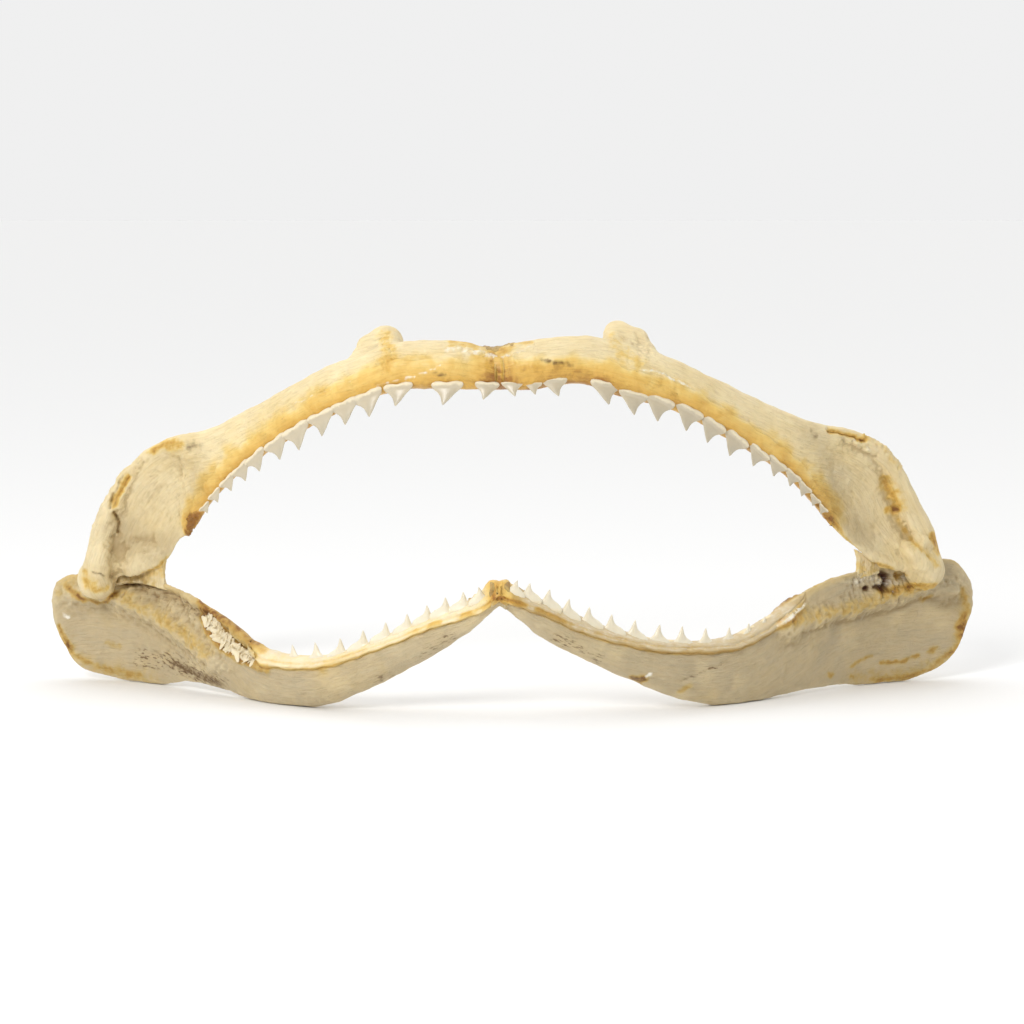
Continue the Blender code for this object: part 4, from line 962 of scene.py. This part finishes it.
trough = {  # the torn groove at the end of the right lower row, with loose rows of small teeth in it
    "half": "lowerRight", "from": 76.0,
    "line": [(-93.6, 23.6), (-90.4, 19.8), (-86.8, 16.6), (-82.6, 14.2), (-78.2, 12.8)],
    "rows": 4, "apart": 0.95, "count": 15, "size": 0.36, "rise": -0.02,
}


def sideways(out, up, distal):
    # the direction across a tooth, pointing away from the midline
    across = unit(np.cross(out, up))
    return -across if across @ distal < 0 else across


def toothRow(half, models):
    kind = jawOf(half)
    shape = toothModels[kind]
    distances, places = edgeTable(half)
    standing, waiting = [], []
    for k, distance in enumerate(toothRows[half]):
        section = Slice(half, np.interp(distance, distances, places))
        up = section.toTip
        distal = unit(section.along - up * (section.along @ up))
        size = toothSize(half, k, distances[-1]) * draw.uniform(0.97, 1.05)
        sway = distal * (shape["lean"] + draw.uniform(-0.06, 0.06))
        lean = unit(up + sway - section.out * draw.uniform(0.0, 0.10))
        out = unit(section.out - lean * (section.out @ lean))
        across = sideways(out, lean, distal)
        deep = sunk[half] - 0.7 * (not isUpper(half)) * max(0.0, 1 - distance / 24)
        foot = section.edge + section.out * shape["forward"] - up * deep
        if half == trough["half"] and distance > trough["from"]:
            continue
        rear = float(soft(np.array(distance / distances[-1]), 0.5, 0.95)) * isUpper(half)
        broader = (size * (1 + 0.32 * rear), size, size)
        standing.append(placeTooth(models[kind], f"tooth{k}", foot, across, out, lean, broader))
        thick = section.thick[2] if isUpper(half) else section.thick[0]
        for row in (1, 2):
            behind = section.edge - section.out * (thick / 2 + 0.1 * row) - up * (3.2 * size + 3.0 * row * size)
            back = unit(-section.out * (0.9 - 0.3 * row) - up * (0.35 + 0.3 * row))
            face = unit(up - back * (up @ back))
            side = sideways(face, back, distal)
            smaller = size * (0.9 - 0.1 * row)
            waiting.append(placeTooth(
                models[kind], f"newTooth{k}", behind, side, face, back, (smaller, smaller, smaller)))
    side = half[5:]
    if half == trough["half"]:
        standing += troughTeeth(models[kind])
    row = finished(joined(kind + "Teeth" + side, standing), enamels[kind], [cadNode(half, "teeth")])
    # the waiting teeth get the darker enamel that partly paints the shade between the cusps
    finished(joined(kind + "NewTeeth" + side, waiting), enamels["new"])
    return row


def troughTeeth(model):
    # small teeth lying in rows along the groove, set on the cartilage behind them
    jaw = bpy.data.objects["lowerJawRight"]
    line = np.array(trough["line"])
    made = []
    for row in range(trough["rows"]):
        for k in range(trough["count"]):
            t = (k + 0.5 * (row % 2)) / trough["count"]
            x, z = smoothRows(line, t * (len(line) - 1))[0]
            before, after = smoothRows(line, (max(0, t * 4 - 0.2), min(4, t * 4 + 0.2)))
            way = unit(np.array((after[0] - before[0], 0.0, after[1] - before[1])))
            crowd = 0.55 + 0.45 * math.sin(math.pi * min(1, t + 0.25))
            offset = (row - (trough["rows"] - 1) / 2) * trough["apart"] * crowd
            side = np.array((way[2], 0.0, -way[0])) * offset
            start = Vector((x + side[0], -150.0, z + side[2])) * mm
            hit, place, normal, _ = jaw.ray_cast(start, Vector((0, 1, 0)))
            if not hit:
                continue
            up = unit(np.array((0.25 + draw.uniform(-0.6, 0.6), -0.60, 0.75)))
            out = unit(np.array(normal) - up * (np.array(normal) @ up))
            across = unit(np.cross(out, up))
            size = trough["size"] * draw.uniform(0.7, 1.3)
            foot = np.array(place) / mm + np.array(normal) * draw.uniform(-0.35, 0.1)
            loose = placeTooth(model, "loose", foot, across, out, up, (size * 1.2, size, size * 0.8))
            rises = loose.data.attributes["rise"].data
            rises.foreach_set("value", np.full(len(rises), trough["rise"], dtype=np.float32))
            made.append(loose)
    return made


models = {kind: toothModel(kind) for kind in toothModels}
for half in halves:
    toothRow(half, models)
for model in models.values():
    bpy.data.objects.remove(model)
print("teeth done")

# dried ligament at the midline and skin at the mouth's corners

padShape = {"upper": (-7.0, -0.4, 0.86), "lower": (-6.6, -0.8, 0.90)}  # from x, to x, share of the section
padRings = {"facePoints": 18, "count": 22}
saddle = [  # the ligament lying over the top of the upper midline: centre and radii
    ((-12.5, -15.6, 107.6), (4.0, 3.6, 1.3)), ((-8.0, -15.8, 107.3), (4.0, 3.8, 1.3)),
    ((-3.6, -16.0, 107.0), (4.4, 4.0, 1.5)), ((0.6, -15.8, 108.2), (3.4, 3.8, 1.3))]


def midlinePad(kind):
    start, end, share = padShape[kind]
    section = Slice(kind + "Right", 0.0)
    middle = (section.upper + section.lower) / 2
    ring = section.ring(padRings["facePoints"])
    rings = []
    for x in np.linspace(start, end, padRings["count"]):
        waist = share * (1 - 0.05 * math.cos((x - (start + end) / 2) / (end - start) * 2 * math.pi))
        placed = middle + (ring - middle) * waist
        placed[:, 0] = x
        rings.append(placed)
    piece = gridPiece(kind + "MidlineLigament", np.array(rings), True)
    if kind == "upper":
        piece = joined(piece.name, [piece] + [lump("fold", *fold) for fold in saddle])
    fused(piece, 0.4, 3)
    points, normals = pointsOf(piece), normalsOf(piece)
    folds = roughness(points * (2.2, 1.0, 0.7), 3.0, 3, 12.0)
    setPoints(piece, points + normals * (0.35 * folds)[:, None])
    return finished(piece, driedLigament, [kind + "_symphysis"])


cornerSkin = {  # x, y, foot z, head z of the skin between the jaws, in frame millimetres
    "Right": [(-107.0, 24.0, 30.0, 41.6), (-109.3, 24.8, 30.6, 40.4), (-112.5, 26.1, 31.2, 38.6),
              (-116.1, 28.0, 31.8, 37.0), (-119.6, 29.5, 31.8, 35.8), (-124.0, 31.0, 31.0, 35.0)],
    "Left": [(106.0, 22.2, 33.8, 43.4), (108.4, 23.4, 34.2, 42.0), (111.3, 24.8, 34.6, 40.8), (114.3, 26.2, 35.2, 39.2)],
}


def mouthCorner(side):
    rows = np.array(cornerSkin[side], float)
    columns = []
    for place in np.linspace(0, len(rows) - 1, 48):
        x, y, foot, head = smoothRows(rows, place)[0]
        rise = np.linspace(0, 1, 26)
        hollow = 1.3 * np.sin(np.pi * rise) * (1 - place / (len(rows) - 1)) ** 2 * (-1 if side == "Right" else 1)
        pinch = 0.7 * np.sin(np.pi * rise)
        columns.append(np.stack([x + hollow, y + pinch, foot + (head - foot) * rise], axis=1))
    piece = gridPiece("mouthCorner" + side, np.array(columns), False)
    modify(piece, "SOLIDIFY", thickness=1.3 * mm, offset=0.0)
    fused(piece, 0.3, 4)
    points, normals = pointsOf(piece), normalsOf(piece)
    setPoints(piece, points + normals * (0.25 * roughness(points, 2.0, 3, 14.0))[:, None])
    # painted shade: the skin darkens inwards, where it runs in under the plate
    shadedInward = soft(np.abs(points[:, 0]), 108.5, 118.0)
    patches = soft(roughness(points, 3.0, 3, 15.0), -0.5, 0.5)
    for name, values in (("amber", 0.55 * patches), ("dark", 0.25 * patches + 0.55 * shadedInward), ("flecks", 0 * shadedInward),
                         ("chalk", 0 * shadedInward), ("tan", 0.3 + 0 * shadedInward)):
        setMask(piece, name, values)
    setMask(piece, "grain", points[:, [2, 0, 1]])
    shadeHollowsLightRidges(piece)
    return finished(piece, cartilage, ["mouth_corner_" + side.lower()])


for kind in padShape:
    midlinePad(kind)
for side in cornerSkin:
    mouthCorner(side)
print("soft tissue done")

# floor, light and camera

studio = {
    "target": (-0.1, -0.5, 57.2), "elevation": 6.0, "distance": 1100.0, "lens": 127.3,
    "floor": (0.90, 0.90, 0.895), "floorSize": 12.0, "floorLevel": -0.0002, "horizon": 0.87, "zenith": 1.42, "front": 0.10,
    "key": {"size": 0.40, "power": 8.0, "place": (-0.42, -0.95, 0.62)},
}


def makeWorld():
    # soft light that grows towards the ceiling and is weaker from behind the camera
    world = bpy.context.scene.world or bpy.data.worlds.new("studio")
    bpy.context.scene.world = world
    world.use_nodes = True
    sky = Tone(world.node_tree)
    direction = sky.node("ShaderNodeTexCoord", output="Generated")
    height = direction.node("ShaderNodeSeparateXYZ", {}, {0: direction}, "Z")
    depth = direction.node("ShaderNodeSeparateXYZ", {}, {0: direction}, "Y")
    strength = studio["horizon"] + height.between(0.15, 0.95) * (studio["zenith"] - studio["horizon"])
    strength = strength * (1 - (0 - depth).between(0.0, 0.8) * (1 - studio["front"]))
    background = world.node_tree.nodes["Background"]
    background.inputs["Color"].default_value = (1.0, 1.0, 1.0, 1.0)
    world.node_tree.links.new(strength.socket, background.inputs["Strength"])


def makeFloor():
    material, shader, _ = newMaterial("pale_floor")
    plug(shader, Base_Color=(*studio["floor"], 1.0), Roughness=0.85)
    bpy.ops.object.select_all(action="DESELECT")
    bpy.ops.mesh.primitive_plane_add(size=studio["floorSize"], location=(0, 0, studio["floorLevel"]))
    floor = bpy.context.object
    floor.name = "studioFloor"
    floor.data.materials.append(material)


def softLight(name, size, power, place):
    light = bpy.data.lights.new(name, "AREA")
    light.shape, light.size, light.energy = "DISK", size, power
    lamp = bpy.data.objects.new(name, light)
    bpy.context.collection.objects.link(lamp)
    lamp.location = place
    lamp.rotation_euler = (Vector((0, 0, 0.06)) - Vector(place)).to_track_quat("-Z", "Y").to_euler()


def makeCamera():
    tilt = math.radians(studio["elevation"])
    forward = Vector((0, math.cos(tilt), -math.sin(tilt)))
    camera = bpy.data.objects.new("camera", bpy.data.cameras.new("camera"))
    bpy.context.collection.objects.link(camera)
    camera.location = (Vector(studio["target"]) - forward * studio["distance"]) * mm
    camera.rotation_euler = forward.to_track_quat("-Z", "Y").to_euler()
    camera.data.lens, camera.data.sensor_width = studio["lens"], 36.0
    bpy.context.scene.camera = camera


makeWorld()
makeFloor()
softLight("keyAbove", **studio["key"])
makeCamera()
bpy.context.scene.view_settings.view_transform = "Standard"
print("studio ready")
